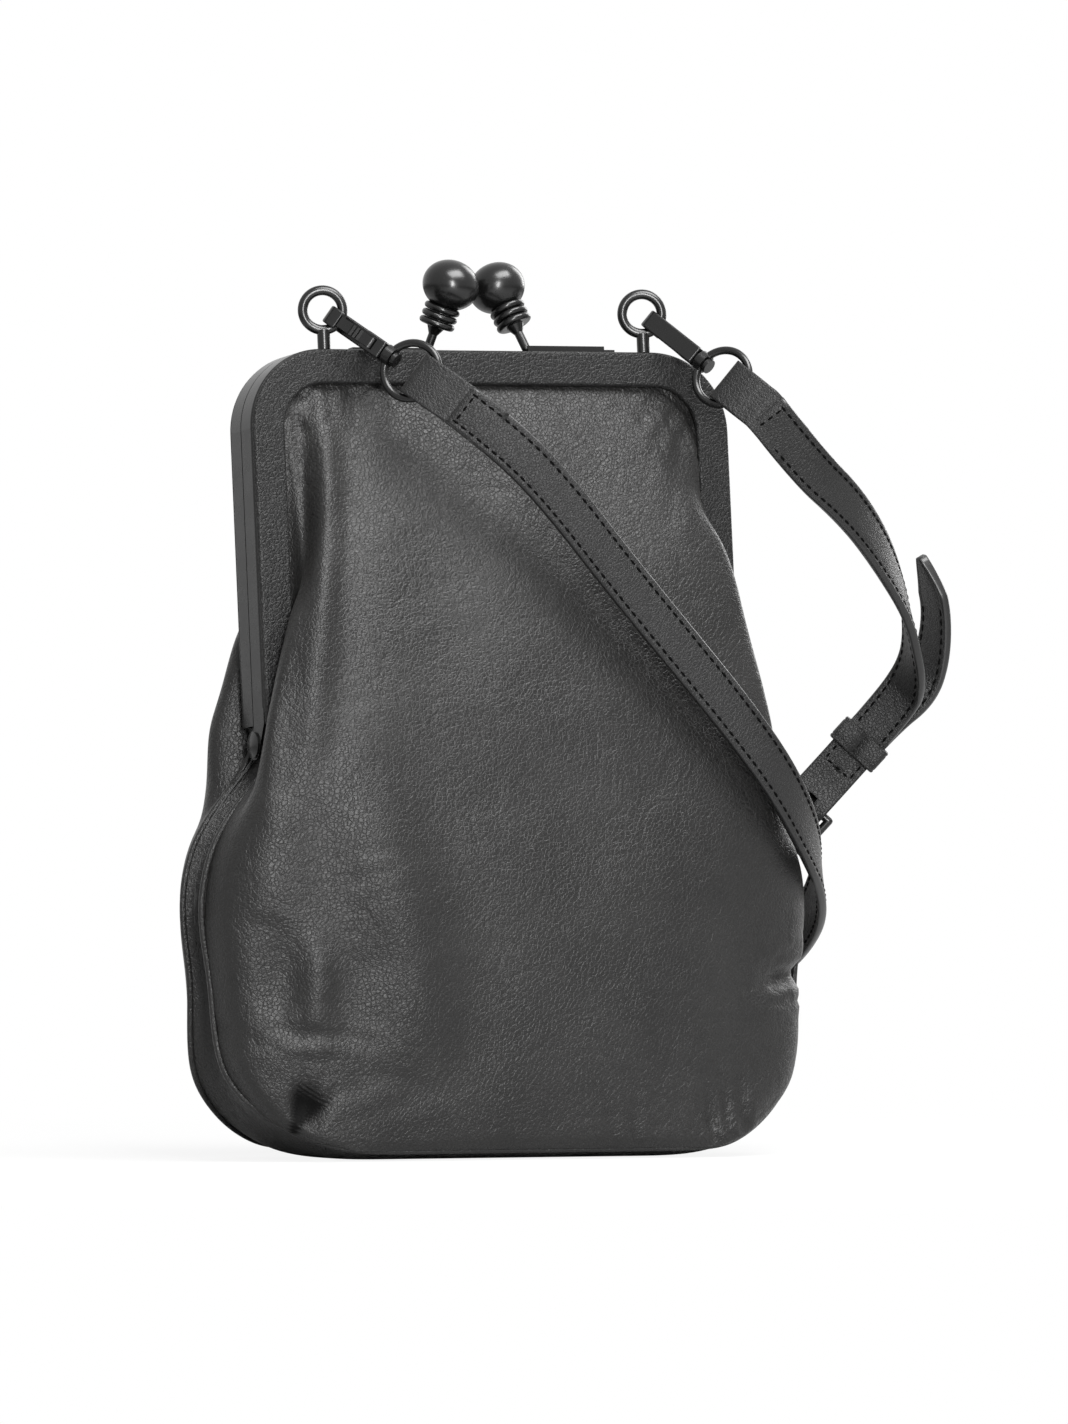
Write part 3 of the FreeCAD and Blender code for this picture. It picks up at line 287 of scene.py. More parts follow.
def leatherFinish(name, look):
    finish = Finish(name, Specular_IOR_Level=look["gloss"], Sheen_Weight=look["sheen"], Sheen_Roughness=0.4,
                    Sheen_Tint=(1.0, 0.97, 0.94, 1))
    swirl = finish.add("TexNoise", out="Color", Vector=finish.place, Scale=look["pore"] * leather["swirl"],
                       Detail=2.0)
    small = finish.add("VectorMath", {"operation": "SCALE"}, out="Vector", Vector=swirl, Scale=look["warp"])
    warp = finish.add("VectorMath", {"operation": "ADD"}, out="Vector")
    for socket, part in zip(warp.socket.node.inputs, (finish.place, small)):
        feed(finish.tree, socket, part)
    pebble = finish.cells(look["pore"], "SMOOTH_F1", warp)
    lines = finish.cells(look["pore"] * leather["lines"], "DISTANCE_TO_EDGE", warp)
    creased = finish.range(lines, 0.0, leather["lineEdge"])
    fine = finish.noise(look["pore"] * leather["fine"], 4.0, 0.6)
    stretch = finish.noise(look["wrinkle"], 3.0, 0.55, 1.6)
    thread = finish.range((stretch - 0.5) * (stretch - 0.5), 0.0, leather["threadEdge"])
    broad = finish.noise(look["mottle"], 4.0, 0.6)
    colour = finish.blend(finish.range(broad, leather["broadFrom"], leather["broadTo"]),
                          look["deep"], look["pale"])
    rubbed = finish.blend(creased * 0.6 + fine * 0.4, look["deep"], colour)
    rough = look["rough"] + (broad - 0.5) * 0.16 + (fine - 0.5) * 0.18 + (1 - creased) * 0.1
    grain = finish.bump(creased * 0.55 - pebble * 0.7 + fine * 0.35, look["grain"], leather["grainDepth"])
    folds = finish.bump(thread, look["creases"], leather["creaseDepth"], grain)
    # painted shade: a near-black diffuse shader is mixed in over the leather's pinch, as strong as the painted pinch
    # shade attribute
    pinched = finish.add("Attribute", {"attribute_name": "pinched"}, out="Fac")
    finish.overlay(pinched, finish.add("BsdfDiffuse", out="BSDF", Color=grey(leather["hollow"])))
    return finish.set(Base_Color=rubbed, Roughness=rough, Normal=folds)


softLeather = leatherFinish("softLeather", {
    "pore": 1450.0, "warp": 0.0006, "wrinkle": 70.0, "mottle": 34.0, "grain": 0.42, "creases": 0.16,
    "rough": 0.38, "gloss": 0.25, "sheen": 0.02, "deep": grey(0.006, 0.02), "pale": grey(0.012, 0.02)})
frameLeather = leatherFinish("frameLeather", {
    "pore": 1500.0, "warp": 0.0004, "wrinkle": 50.0, "mottle": 30.0, "grain": 0.6, "creases": 0.05,
    "rough": 0.42, "gloss": 0.22, "sheen": 0.02, "deep": grey(0.004), "pale": grey(0.008)})
strapLeather = leatherFinish("strapLeather", {
    "pore": 1900.0, "warp": 0.0003, "wrinkle": 90.0, "mottle": 40.0, "grain": 0.45, "creases": 0.08,
    "rough": 0.42, "gloss": 0.26, "sheen": 0.03, "deep": grey(0.005), "pale": grey(0.01)})


# scales of the lacquer's surface, its clouds and its scuffs
lacquer = {"coatRough": 0.22, "surface": 900.0, "surfaceDepth": 0.0001, "cloud": 120.0, "scuff": 420.0,
           "scuffFrom": 0.62, "scuffTo": 0.75}


def paintFinish(name, look):
    # lacquer over metal or a painted leather edge, rubbed a little here and there
    finish = Finish(name, Coat_Roughness=lacquer["coatRough"], Metallic=look["metal"],
                    Coat_Weight=look["coat"], Specular_IOR_Level=look["gloss"])
    surface = finish.noise(lacquer["surface"], 2.0)
    cloud = finish.noise(lacquer["cloud"], 4.0, 0.6)
    rubbed = finish.noise(lacquer["scuff"], 5.0, 0.7, 1.2)
    scuffs = finish.range(rubbed, lacquer["scuffFrom"], lacquer["scuffTo"])
    colour = finish.blend(scuffs * look["wear"], look["deep"], look["pale"])
    return finish.set(Base_Color=colour, Roughness=look["rough"] + (cloud - 0.5) * 0.18 + scuffs * 0.08,
                      Normal=finish.bump(surface, 0.12, lacquer["surfaceDepth"]))


blackMetal = paintFinish("blackMetal", {"metal": 0.0, "coat": 0.06, "rough": 0.27, "wear": 0.3, "gloss": 0.32,
                                        "deep": grey(0.003), "pale": grey(0.009)})
edgePaint = paintFinish("edgePaint", {"metal": 0.0, "coat": 0.1, "rough": 0.38, "wear": 0.5, "gloss": 0.36,
                                      "deep": grey(0.006), "pale": grey(0.014)})
springSteel = paintFinish("springSteel", {"metal": 1.0, "coat": 0.0, "rough": 0.3, "wear": 0.4, "gloss": 0.5,
                                          "deep": grey(0.42), "pale": grey(0.55)})


cloth = {"slubs": 260.0, "rough": 0.82, "weaveDepth": 0.0002}


def clothFinish(name, look):
    finish = Finish(name, Sheen_Weight=look["sheen"], Sheen_Roughness=0.5, Specular_IOR_Level=look["gloss"])
    across, along = (finish.add("TexWave", {"bands_direction": way}, out="Fac", Vector=finish.place,
                                Scale=look["weave"], Distortion=0.6, Detail=1.0) for way in "XZ")
    slubs = finish.noise(cloth["slubs"], 3.0)
    weave = across * 0.5 + along * 0.5
    colour = finish.blend(weave * 0.6 + slubs * 0.4, look["deep"], look["pale"])
    return finish.set(Base_Color=colour, Roughness=cloth["rough"] + (slubs - 0.5) * 0.1,
                      Normal=finish.bump(weave, 0.35, cloth["weaveDepth"]))


liningCloth = clothFinish("liningCloth", {"weave": 420.0, "sheen": 0.2, "gloss": 0.3, "deep": grey(0.02),
                                          "pale": grey(0.05)})
paperCord = clothFinish("paperCord", {"weave": 300.0, "sheen": 0.2, "gloss": 0.3,
                                      "deep": (0.3, 0.22, 0.13, 1), "pale": (0.5, 0.4, 0.27, 1)})
stitchThread = clothFinish("stitchThread", {"weave": 900.0, "sheen": 0.0, "gloss": 0.02, "deep": grey(0.001),
                                            "pale": grey(0.003)})
print("finishes made:", len(bpy.data.materials))


# Helpers that make and read meshes


def gridPiece(name, columns, rows, place, finishes, closed=False):
    bm = bmesh.new()
    bm.loops.layers.uv.new("along")
    bmesh.ops.create_grid(bm, x_segments=columns, y_segments=rows, size=0.5, calc_uvs=True)
    for vert in bm.verts:
        vert.co = place(round((vert.co.x + 0.5) * columns), round((vert.co.y + 0.5) * rows))
    if closed:
        bmesh.ops.remove_doubles(bm, verts=bm.verts, dist=1e-6)
        bmesh.ops.holes_fill(bm, edges=[e for e in bm.edges if e.is_boundary], sides=0)
        bmesh.ops.recalc_face_normals(bm, faces=bm.faces)
    return linked(name, bm, finishes)


def linked(name, bm, finishes):
    mesh = bpy.data.meshes.new(name)
    bm.to_mesh(mesh)
    bm.free()
    for finish in finishes:
        mesh.materials.append(finish)
    mesh.shade_smooth()
    piece = bpy.data.objects.new(name, mesh)
    scene.collection.objects.link(piece)
    return piece


def baked(piece):
    # the piece with its modifiers made final
    shown = piece.evaluated_get(bpy.context.evaluated_depsgraph_get())
    old = piece.data
    piece.data = bpy.data.meshes.new_from_object(shown)
    piece.modifiers.clear()
    bpy.data.meshes.remove(old)
    return piece


def rounded(piece, levels):
    step = piece.modifiers.new("round", "SUBSURF")
    step.levels = step.render_levels = levels
    step.boundary_smooth = "ALL"
    return piece


def thickened(piece, thickness, offset=-1.0):
    wall = piece.modifiers.new("wall", "SOLIDIFY")
    wall.thickness = thickness
    wall.offset = offset
    return piece


def facedOutwards(piece, centre):
    mesh = piece.data
    out = sum(face.normal.dot(face.center - centre) * face.area for face in mesh.polygons)
    if out < 0:
        mesh.flip_normals()
    return piece


def readPoints(piece):
    co = np.empty(len(piece.data.vertices) * 3)
    normal = np.empty(len(co))
    piece.data.vertices.foreach_get("co", co)
    piece.data.vertex_normals.foreach_get("vector", normal)
    return co.reshape(-1, 3), normal.reshape(-1, 3)


def writePoints(piece, co):
    piece.data.vertices.foreach_set("co", co.ravel())
    piece.data.update()


def done(piece, slot, body, *replaced):
    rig.slot(piece, slot)
    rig.replaces(piece, *replaced)
    if body:
        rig.ride(piece, body)
    return piece


# The pouch's leather, in millimetres

pouch = {
    "halfWidth": 86.2, "hingeHeight": 107.6, "baseDepth": 25.0, "swell": 31.0, "frameRise": 103.0,
    "lean": 6.0, "leather": 1.3, "liningInset": 1.9, "liningWall": 0.4, "seamLift": 2.6, "seamLiftTo": 20.0,
    "seamOut": 1.8, "setback": 4.3, "baseIn": 1.0, "sideIn": 0.6, "panelMiddle": 90.0, "gussetMiddle": 60.0,
    "atMouth": 59.0, "inChannel": 64.7, "channelEdge": 5.4, "riser": 9.9, "sectionPower": 0.8,
    "mouthTop": 202.2, "channelTop": 204.9, "cornerX": 47.5, "cornerZ": 189.6,
    # width, height and half depth of the seam, from the rivet down to the base
    "seam": [(0.817, 0.911, 0.21), (0.926, 0.818, 0.21), (0.988, 0.706, 0.21), (1, 0.576, 0.19),
             (0.965, 0.446, 0.21), (0.963, 0.335, 0.255), (0.949, 0.214, 0.34), (0.884, 0.135, 0.47),
             (0.798, 0.069, 0.64), (0.696, 0.024, 0.85), (0.597, 0, 1)],
    # swell, fold and blend at those heights
    "body": [(0.88, 0.18, 0.95), (0.92, 0.08, 0.7), (0.96, 0.03, 0.35), (0.99, 0, 0.1), (1, 0, 0), (1, 0, 0),
             (0.985, 0, 0), (0.965, 0, 0), (0.945, 0, 0), (0.93, 0, 0), (0.915, 0, 0)],
    # rise, swell, fold and blend between the frame's legs
    "upper": [(0.04, 0.855, 0.4, 1), (0.12, 0.83, 0.32, 1), (0.23, 0.79, 0.225, 1), (0.34, 0.74, 0.13, 0.95),
              (0.43, 0.69, 0.05, 0.8), (0.52, 0.63, 0.01, 0.5), (0.63, 0.53, 0, 0.2), (0.75, 0.4, 0, 0),
              (0.84, 0.28, 0, 0)],
    # fold and blend on the front's right side at those heights
    "upperRight": [(0.45, 1), (0.38, 1), (0.3, 1), (0.23, 1), (0.18, 1), (0.12, 0.95), (0.04, 0.6), (0, 0.2),
                   (0, 0)],
    "backFold": 1.2,
    "foldOutline": [(0, 0), (0.5, 0.04), (0.95, 0.16), (1.06, 0.38), (0.9, 0.62)],
    "frontOutline": [(0.86, 0.84), (0.5, 0.98), (0, 1)],
    # how far the gusset folds in at each seam height
    "gussetFold": [6.5, 8, 8.5, 8, 7, 6, 4.2, 2.2, 0.3, -1.6, -2.6],
    # the gusset runs on up behind the rivets: across, height, half depth and fold
    "gussetTop": [(66.5, 105.0, 7.5, 3.5)],
    "gussetAcross": [-1, -0.82, -0.5, -0.18, 0.18, 0.5, 0.82, 1],
    "gussetSpare": 0.4, "gussetTuck": 0.6, "foldPower": 1.2, "bulgePower": 5,
    "baseAcross": [36.0, 18.0, 0.0, -18.0, -36.0],
}


def seamLifted(height):
    # the seam stands a little above the floor, because the gusset turns up to it
    return height + pouch["seamLift"] * max(0.0, 1 - height / pouch["seamLiftTo"])


def seamStation(index):
    width, rise, depth = pouch["seam"][index]
    height = rise * pouch["hingeHeight"]
    return width * pouch["halfWidth"], height, depth * pouch["baseDepth"]


def sideOutline(inner, edge, swell, fold=0.0, riser=None, blend=0.0):
    # half a section from the seam to the middle: across and out from the middle plane
    riser = edge if riser is None else riser
    folded = [(inner, edge)]
    folded += [(inner + fold * a, riser + (swell - riser) * o) for a, o in pouch["foldOutline"]]
    folded += [(inner * a, riser + (swell - riser) * o) for a, o in pouch["frontOutline"]]
    steps = len(folded) - 1
    points = []
    for step, (foldAcross, foldOut) in enumerate(folded):
        turn = math.pi / 2 * step / steps
        across = inner * max(math.cos(turn), 0) ** pouch["sectionPower"]
        out = edge + (swell - edge) * math.sin(turn) ** pouch["sectionPower"]
        points.append((across + (foldAcross - across) * blend, out + (foldOut - out) * blend))
    points[-1] = (0.0, points[-1][1])
    return points


def inwards(points, distance):
    moved = []
    for index, (across, out) in enumerate(points):
        before = points[max(index - 1, 0)]
        after = points[min(index + 1, len(points) - 1)]
        run = Vector((after[0] - before[0], after[1] - before[1]))
        if run.length < 1e-6 or index == 0:
            moved.append((across - distance, out - distance))
            continue
        run.normalize()
        moved.append((max(across + run.y * -distance, 0) if across else 0.0, out + run.x * distance))
    return moved


def leaned(point):
    turn = math.radians(pouch["lean"])
    rise = point.z - pouch["hingeHeight"]
    return Vector((point.x, point.y * math.cos(turn) + rise * math.sin(turn),
                   pouch["hingeHeight"] - point.y * math.sin(turn) + rise * math.cos(turn)))


def panelRows(side, inset):
    rows = []

    def half(end, points, height, across):
        points = inwards(points, inset) if inset else points
        seam = Vector((across * (end[0] - inset), side * (end[1] - inset), height))
        return [seam] + [Vector((across * a, side * out, height)) for a, out in points]

    def row(end, points, height, lean=False, leftPoints=None):
        left = half(end, leftPoints or points, height, -1)
        whole = half(end, points, height, 1) + left[-2::-1]
        rows.append([(leaned(p) if lean else p) * mm for p in whole])

    last = len(pouch["seam"]) - 1
    for index in range(last, -1, -1):
        width, height, depth = seamStation(index)
        height = seamLifted(height) + inset
        swell, fold, blend = pouch["body"][index]
        seamEnd = (width, depth + pouch["seamOut"])
        if index == last:
            points = sideOutline(width - pouch["baseIn"], seamEnd[1], seamEnd[1])
        else:
            edge = depth + pouch["setback"]
            points = sideOutline(width - pouch["sideIn"], edge, swell * pouch["swell"], fold * pouch["swell"],
                                 edge, blend)
        row(seamEnd, points, height)
    for (rise, swell, fold, blend), (rightFold, rightBlend) in zip(pouch["upper"], pouch["upperRight"]):
        sides = ([(fold * pouch["backFold"], blend)] * 2 if side > 0
                 else [(rightFold, rightBlend), (fold, blend)])
        right, left = (sideOutline(pouch["atMouth"], pouch["channelEdge"], swell * pouch["swell"],
                                   share * pouch["swell"], pouch["riser"], much) for share, much in sides)
        row((pouch["inChannel"], pouch["channelEdge"]), right,
            pouch["hingeHeight"] + rise * pouch["frameRise"], True, left)
    reach = pouch["inChannel"] - pouch["cornerX"]
    for height in (pouch["mouthTop"], pouch["channelTop"]):
        width = pouch["cornerX"] + math.sqrt(max(reach ** 2 - (height - pouch["cornerZ"]) ** 2, 1.0))
        row((width, pouch["channelEdge"]),
            sideOutline(pouch["cornerX"], pouch["channelEdge"], pouch["channelEdge"]), height, True)
    return rows


def skinPiece(name, rows, levels, finish, middle):
    piece = gridPiece(name, len(rows[0]) - 1, len(rows) - 1, lambda i, j: rows[j][i], [finish])
    return facedOutwards(baked(rounded(piece, levels)), Vector((0, 0, middle * mm)))


def panelPiece(name, side, inset, levels, finish):
    return skinPiece(name, panelRows(side, inset), levels, finish, pouch["panelMiddle"])


# Wrinkles are lines drawn as the camera sees them, pushed in or out along the leather's own normals

cameraTurn = math.radians(-25)
wrinkle = {"fadePower": 0.6, "trough": 0.35, "groove": 0.13, "bendScale": 0.6, "bend": 0.9, "lumpScale": 22.0,
           "lumpSeed": 3.0, "crinkleSeed": 5.0, "leastMask": 0.03}
# the painted shade of a pinch: how ragged it ends, in millimetres and waves, how its sides and end fade, and how dark
# it is
pinch = {"rag": 1.6, "rags": 0.75, "sideFade": 7, "endFade": 2.6, "dark": 0.93}
# heights in millimetres between which the leather is free of the seam and of the frame, and the fades there
free = {"base": 2.4, "baseFade": 3, "top": 204.5, "topFade": 5}


def seenPlane(co):
    return np.stack([co[:, 0] * math.cos(cameraTurn) + co[:, 1] * math.sin(cameraTurn), co[:, 2]], 1) / mm


def nearLine(seen, line):
    gap = np.full(len(seen), 1e9)
    along = np.zeros(len(seen))
    line = np.array(line, float)
    for k, (a, b) in enumerate(zip(line, line[1:])):
        run = b - a
        share = np.clip((seen - a) @ run / (run @ run), 0, 1)
        here = np.linalg.norm(seen - a - share[:, None] * run, axis=1)
        nearer = here < gap
        gap[nearer] = here[nearer]
        along[nearer] = (k + share[nearer]) / (len(line) - 1)
    return gap, along


def creased(seen, look):
    lift = np.zeros(len(seen))
    fades = {"between": lambda s: np.sin(np.pi * np.clip(s, 0, 1)),
             "fromEdge": lambda s: np.cos(np.pi / 2 * s)}
    for kind, fade in fades.items():
        for rise, spread, line in look[kind]:
            gap, along = nearLine(seen, line)
            wave = (np.exp(-(gap / spread) ** 2)
                    - wrinkle["trough"] * np.exp(-((gap - 2 * spread) / spread) ** 2))
            lift += rise * fade(along) ** wrinkle["fadePower"] * wave
    return lift


def crinkles(co, scale, seed):
    # narrow grooves where a stretched noise crosses zero
    out = np.empty(len(co))
    shift = Vector((seed, seed * 1.7, seed * 0.3))
    for k, point in enumerate(co):
        p = Vector(point) * scale + shift
        bent = p + noise.noise_vector(p * wrinkle["bendScale"]) * wrinkle["bend"]
        out[k] = math.exp(-(noise.noise(bent) / wrinkle["groove"]) ** 2)
    return out


def lumps(co, scale, seed):
    shift = Vector((seed, -seed, seed * 2))
    return np.array([noise.fractal(Vector(p) * scale + shift, 0.8, 2.1, 3) for p in co])


def patches(seen, spots):
    mask = np.zeros(len(seen))
    for across, height, reach, strength in spots:
        gap = np.hypot(seen[:, 0] - across, seen[:, 1] - height)
        mask = np.maximum(mask, strength * np.exp(-(gap / reach) ** 2))
    return mask


frontWrinkles = {
    "unevenness": 0.55, "crinkle": 0.34, "crinkleScale": 210.0,
    # creases that fade at both ends: rise, spread, and the line as across and height in millimetres
    "between": [
        (1.9, 3.6, [(-45.5, 199), (-44.6, 187), (-43.7, 177), (-43.7, 166), (-44.4, 153), (-45.2, 135),
                    (-46.6, 112), (-49.5, 94)]),
        (-1.6, 3.2, [(-50, 198), (-49.4, 184), (-49.3, 172), (-49.1, 158), (-49.8, 140)]),
        (2.6, 8.5, [(-37, 118), (-34, 98), (-29, 82), (-24, 66), (-20, 52), (-20, 36), (-24, 22)]),
        (1.5, 8.0, [(-58, 96), (-60, 78), (-60, 62)]),
        (1.1, 4.5, [(-44, 56), (-45, 41), (-44, 28)]),
        (-1.4, 6.0, [(-54, 62), (-56, 47), (-57, 34)]),
        (-0.32, 1.0, [(-16.2, 184), (-14.1, 172)]),
        (-0.32, 1.0, [(-12.5, 185), (-11, 174)]),
        (-0.3, 1.0, [(-8.9, 175.5), (-1, 174.1), (6.8, 173.6)]),
        (-0.6, 1.7, [(-73, 35.5), (-63, 32.6), (-55, 33.8), (-47, 32.2), (-39, 32.8), (-27, 29.6)]),
        (0.4, 2.2, [(-56, 28.6), (-46, 29.8), (-37, 28.2)]),
        (-0.4, 1.4, [(-67, 29.5), (-60, 30.6), (-53, 29.4)]),
        (0.8, 3.2, [(-46.5, 60), (-46, 45), (-47, 34)]),
        (-0.7, 1.2, [(-51, 9), (-52, 22)]),
        (-0.7, 1.2, [(-49.5, 9), (-48.6, 24)]),
        (-0.7, 1.2, [(-48, 9), (-44.5, 23)]),
        (-0.7, 1.2, [(-47, 8), (-40.5, 20)]),
        (-0.35, 1.2, [(-26, 123), (-24, 110)]),
        (-0.4, 1.1, [(-40, 92), (-36, 101), (-27, 107)]),
        (-0.4, 1.1, [(-37.6, 91), (-32.9, 99.7), (-24, 105)]),
        (-0.4, 1.2, [(-35, 80), (-21, 81)]),
        (-0.35, 1.2, [(-38, 72), (-26, 76), (-15, 81)]),
        (-0.35, 1.1, [(-55, 49), (-48, 52), (-41, 55)]),
        (-0.3, 1.1, [(-52, 45), (-46, 47), (-40, 49)]),
        (-0.7, 9.0, [(-20, 165), (-12, 140), (-8, 118)]),
        (0.7, 10.0, [(2, 178), (8, 150), (10, 125)]),
        (-0.9, 9.0, [(24, 150), (40, 128), (56, 108)]),
    ],
    # creases that start at an edge and fade away from it
    "fromEdge": [
        (-0.8, 1.2, [(-51.4, 200), (-46.7, 196)]),
        (-0.7, 1.2, [(-52, 192.4), (-48.2, 189)]),
        (-0.6, 1.9, [(-42.8, 202), (-42, 187)]),
        (-0.8, 2.8, [(-37.6, 202), (-35.5, 189)]),
        (-0.5, 2.4, [(-27, 202), (-24, 190)]),
        (0.8, 3.0, [(-49.9, 7.2), (-38.9, 12.8), (-22, 19.5)]),
        (0.5, 2.8, [(-47, 5), (-29.8, 10), (-9, 14)]),
        (0.6, 2.8, [(-54, 7.4), (-60.6, 17.5), (-67, 28)]),
        (-0.7, 1.3, [(58, 5), (55.9, 14.9), (55.2, 23)]),
        (-0.7, 1.3, [(65, 8), (64.5, 17.5), (62.8, 25)]),
        (-0.5, 1.2, [(61, 6), (60.4, 15), (59, 22)]),
        (-0.4, 1.2, [(37.1, 4), (36.6, 14.9), (35, 22)]),
        (-0.35, 1.1, [(31, 4), (30.5, 13), (31, 19)]),
        (0.6, 3.0, [(60.3, 6), (69.5, 16), (77.3, 24)]),
        (-1.5, 2.6, [(80, 48), (73.4, 45), (65, 43.6)]),
        (-0.7, 1.3, [(80, 41), (74.2, 40.2), (66, 41)]),
        (-0.7, 1.3, [(79, 54), (72.1, 50), (66, 48)]),
        (-0.4, 1.8, [(50.5, 199), (45, 191), (41, 183)]),
        (-0.4, 1.8, [(52, 194), (48.5, 186), (46, 178)]),
        (-0.3, 1.6, [(43, 200), (39, 193), (35, 187)]),
        (0.7, 2.6, [(55, 188), (52, 176), (50, 160)]),
    ],
    # painted shade in fans that spread from a pinch's point: across, height, reach, and the two angles of the fan
    "pinches": [(-52.8, 6.0, 15.5, 36, 87)],
    # hollows: across, height, reach each way and depth
    "pits": [(-48.4, 14.5, 3.2, 5.4, 2.6), (76, 47, 4.5, 3.2, 1.6)],
    # crinkled places: across, height, reach and strength
    "spots": [(-47, 192, 10, 1), (-30, 196, 12, 0.7), (47, 190, 13, 1), (20, 192, 14, 0.5),
              (-8, 177, 14, 0.7), (-45, 30, 16, 0.9), (58, 16, 15, 1), (72, 46, 13, 0.9), (-36, 96, 15, 0.6),
              (-40, 52, 13, 0.6), (34, 13, 12, 0.6), (-28, 76, 16, 0.5), (-20, 140, 25, 0.3)],
}


def pinchShade(seen, pinches):
    shade = np.zeros(len(seen))
    for across, height, reach, low, high in pinches:
        away = np.hypot(seen[:, 0] - across, seen[:, 1] - height)
        turn = np.degrees(np.arctan2(seen[:, 1] - height, seen[:, 0] - across))
        ragged = reach + pinch["rag"] * np.sin(turn * pinch["rags"])
        fan = (np.clip((turn - low) / pinch["sideFade"], 0, 1)
               * np.clip((high - turn) / pinch["sideFade"], 0, 1))
        fan = fan * np.clip((ragged - away) / pinch["endFade"], 0, 1)
        shade = np.maximum(shade, pinch["dark"] * fan)
    return shade


def wrinkled(piece, look):
    co, normal = readPoints(piece)
    seen = seenPlane(co)
    lift = creased(seen, look)
    for across, height, wide, tall, depth in look["pits"]:
        lift -= depth * np.exp(-((seen[:, 0] - across) / wide) ** 2 - ((seen[:, 1] - height) / tall) ** 2)
    lift += look["unevenness"] * lumps(co, wrinkle["lumpScale"], wrinkle["lumpSeed"])
    mask = patches(seen, look["spots"])
    near = mask > wrinkle["leastMask"]
    grooves = crinkles(co[near], look["crinkleScale"], wrinkle["crinkleSeed"])
    lift[near] -= look["crinkle"] * grooves * mask[near]
    # painted shade, darkest in each pinch's fan, goes into a point attribute that the leather's finish reads
    shade = pinchShade(seen, look["pinches"])
    piece.data.attributes.new("pinched", "FLOAT", "POINT").data.foreach_set("value", shade)
    # the leather stays put where it is sewn or held in the frame
    height = co[:, 2] / mm
    held = np.clip((free["top"] - height) / free["topFade"], 0, 1)
    held = held * np.clip((height - free["base"]) / free["baseFade"], 0, 1)
    writePoints(piece, co + normal * (lift * held * mm)[:, None])
    return piece


frontSkin = wrinkled(panelPiece("frontLeather", -1, 0.0, 3, softLeather), frontWrinkles)
thickened(frontSkin, pouch["leather"] * mm)
done(frontSkin, "soft_leather", "purse", "front_panel")
print("front leather:", len(frontSkin.data.vertices), "points")

backWrinkles = {
    "unevenness": 0.7, "crinkle": 0.3, "crinkleScale": 190.0,
    "between": [
        (1.2, 4.0, [(50, 196), (48, 176), (48, 150), (52, 118)]),
        (-1.6, 3.0, [(53, 196), (52, 175), (52, 150)]),
        (1.0, 4.5, [(-44, 196), (-42, 172), (-45, 140), (-50, 115)]),
        (0.9, 12.0, [(-30, 120), (-22, 80), (-20, 40)]),
        (-0.9, 10.0, [(12, 140), (18, 100), (14, 60)]),
        (-0.8, 1.4, [(-70, 34), (-48, 31), (-30, 33)]),
        (-0.8, 1.4, [(40, 40), (58, 36), (76, 40)]),
    ],
    "fromEdge": [
        (-0.8, 2.0, [(20, 202), (18, 188)]),
        (-0.8, 2.2, [(-14, 202), (-16, 186)]),
        (-0.7, 1.3, [(-55, 5), (-52, 18)]),
        (-0.7, 1.3, [(-50, 5), (-49, 17)]),
        (-0.7, 1.3, [(54, 5), (52, 18)]),
        (-0.7, 1.3, [(60, 7), (59, 20)]),
    ],
    "pinches": [],
    "pits": [(-50, 15, 4, 6, 1.5), (56, 15, 4, 6, 1.5)],
    "spots": [(-44, 192, 14, 1), (46, 190, 14, 1), (0, 194, 18, 0.5), (-52, 22, 18, 0.8), (56, 24, 18, 0.9),
              (0, 100, 30, 0.3)],
}
backSkin = wrinkled(panelPiece("backLeather", 1, 0.0, 3, softLeather), backWrinkles)
thickened(backSkin, pouch["leather"] * mm)
done(backSkin, "soft_leather", None, "back_panel", "back_panel_upper")
bendStart, bendEnd = (0, 0.02, 0.078), (0, 0.02, 0.116)
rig.blend(backSkin, "purse", "back_half", start=bendStart, end=bendEnd)
print("back leather:", len(backSkin.data.vertices), "points")


def seamPoles(top=()):
    # right side down, along the base and up the left side
    right = []
    for index, inset in enumerate(pouch["gussetFold"]):
        half, height, depth = seamStation(index)
        right.append((half, height, depth, inset))
    right = list(top) + right
    base = [(x, 0.0, pouch["baseDepth"], pouch["gussetFold"][-1]) for x in pouch["baseAcross"]]
    return right + base + [(-half, height, depth, inset) for half, height, depth, inset in reversed(right)]


def gussetRows(inset):
    poles = seamPoles(pouch["gussetTop"])
    rows = []
    for index, (across, height, depth, fold) in enumerate(poles):
        before, after = poles[max(index - 1, 0)], poles[min(index + 1, len(poles) - 1)]
        run = Vector((after[0] - before[0], 0, after[1] - before[1])).normalized()
        inner = Vector((run.z, 0, -run.x))  # points into the pouch
        if height == 0:
            inner = Vector((0, 0, 1))
        seam = Vector((across, 0, seamLifted(height)))
        row = []
        for t in pouch["gussetAcross"]:
            share = 1 - abs(t) ** pouch["foldPower" if fold > 0 else "bulgePower"]
            point = seam + inner * (fold * share + inset)
            out = t * (depth + pouch["gussetSpare"] - inset * pouch["gussetTuck"])
            row.append((point + Vector((0, out, 0))) * mm)
        rows.append(row)
    return rows


def gussetPiece(name, inset, levels, finish):
    return skinPiece(name, gussetRows(inset), levels, finish, pouch["gussetMiddle"])


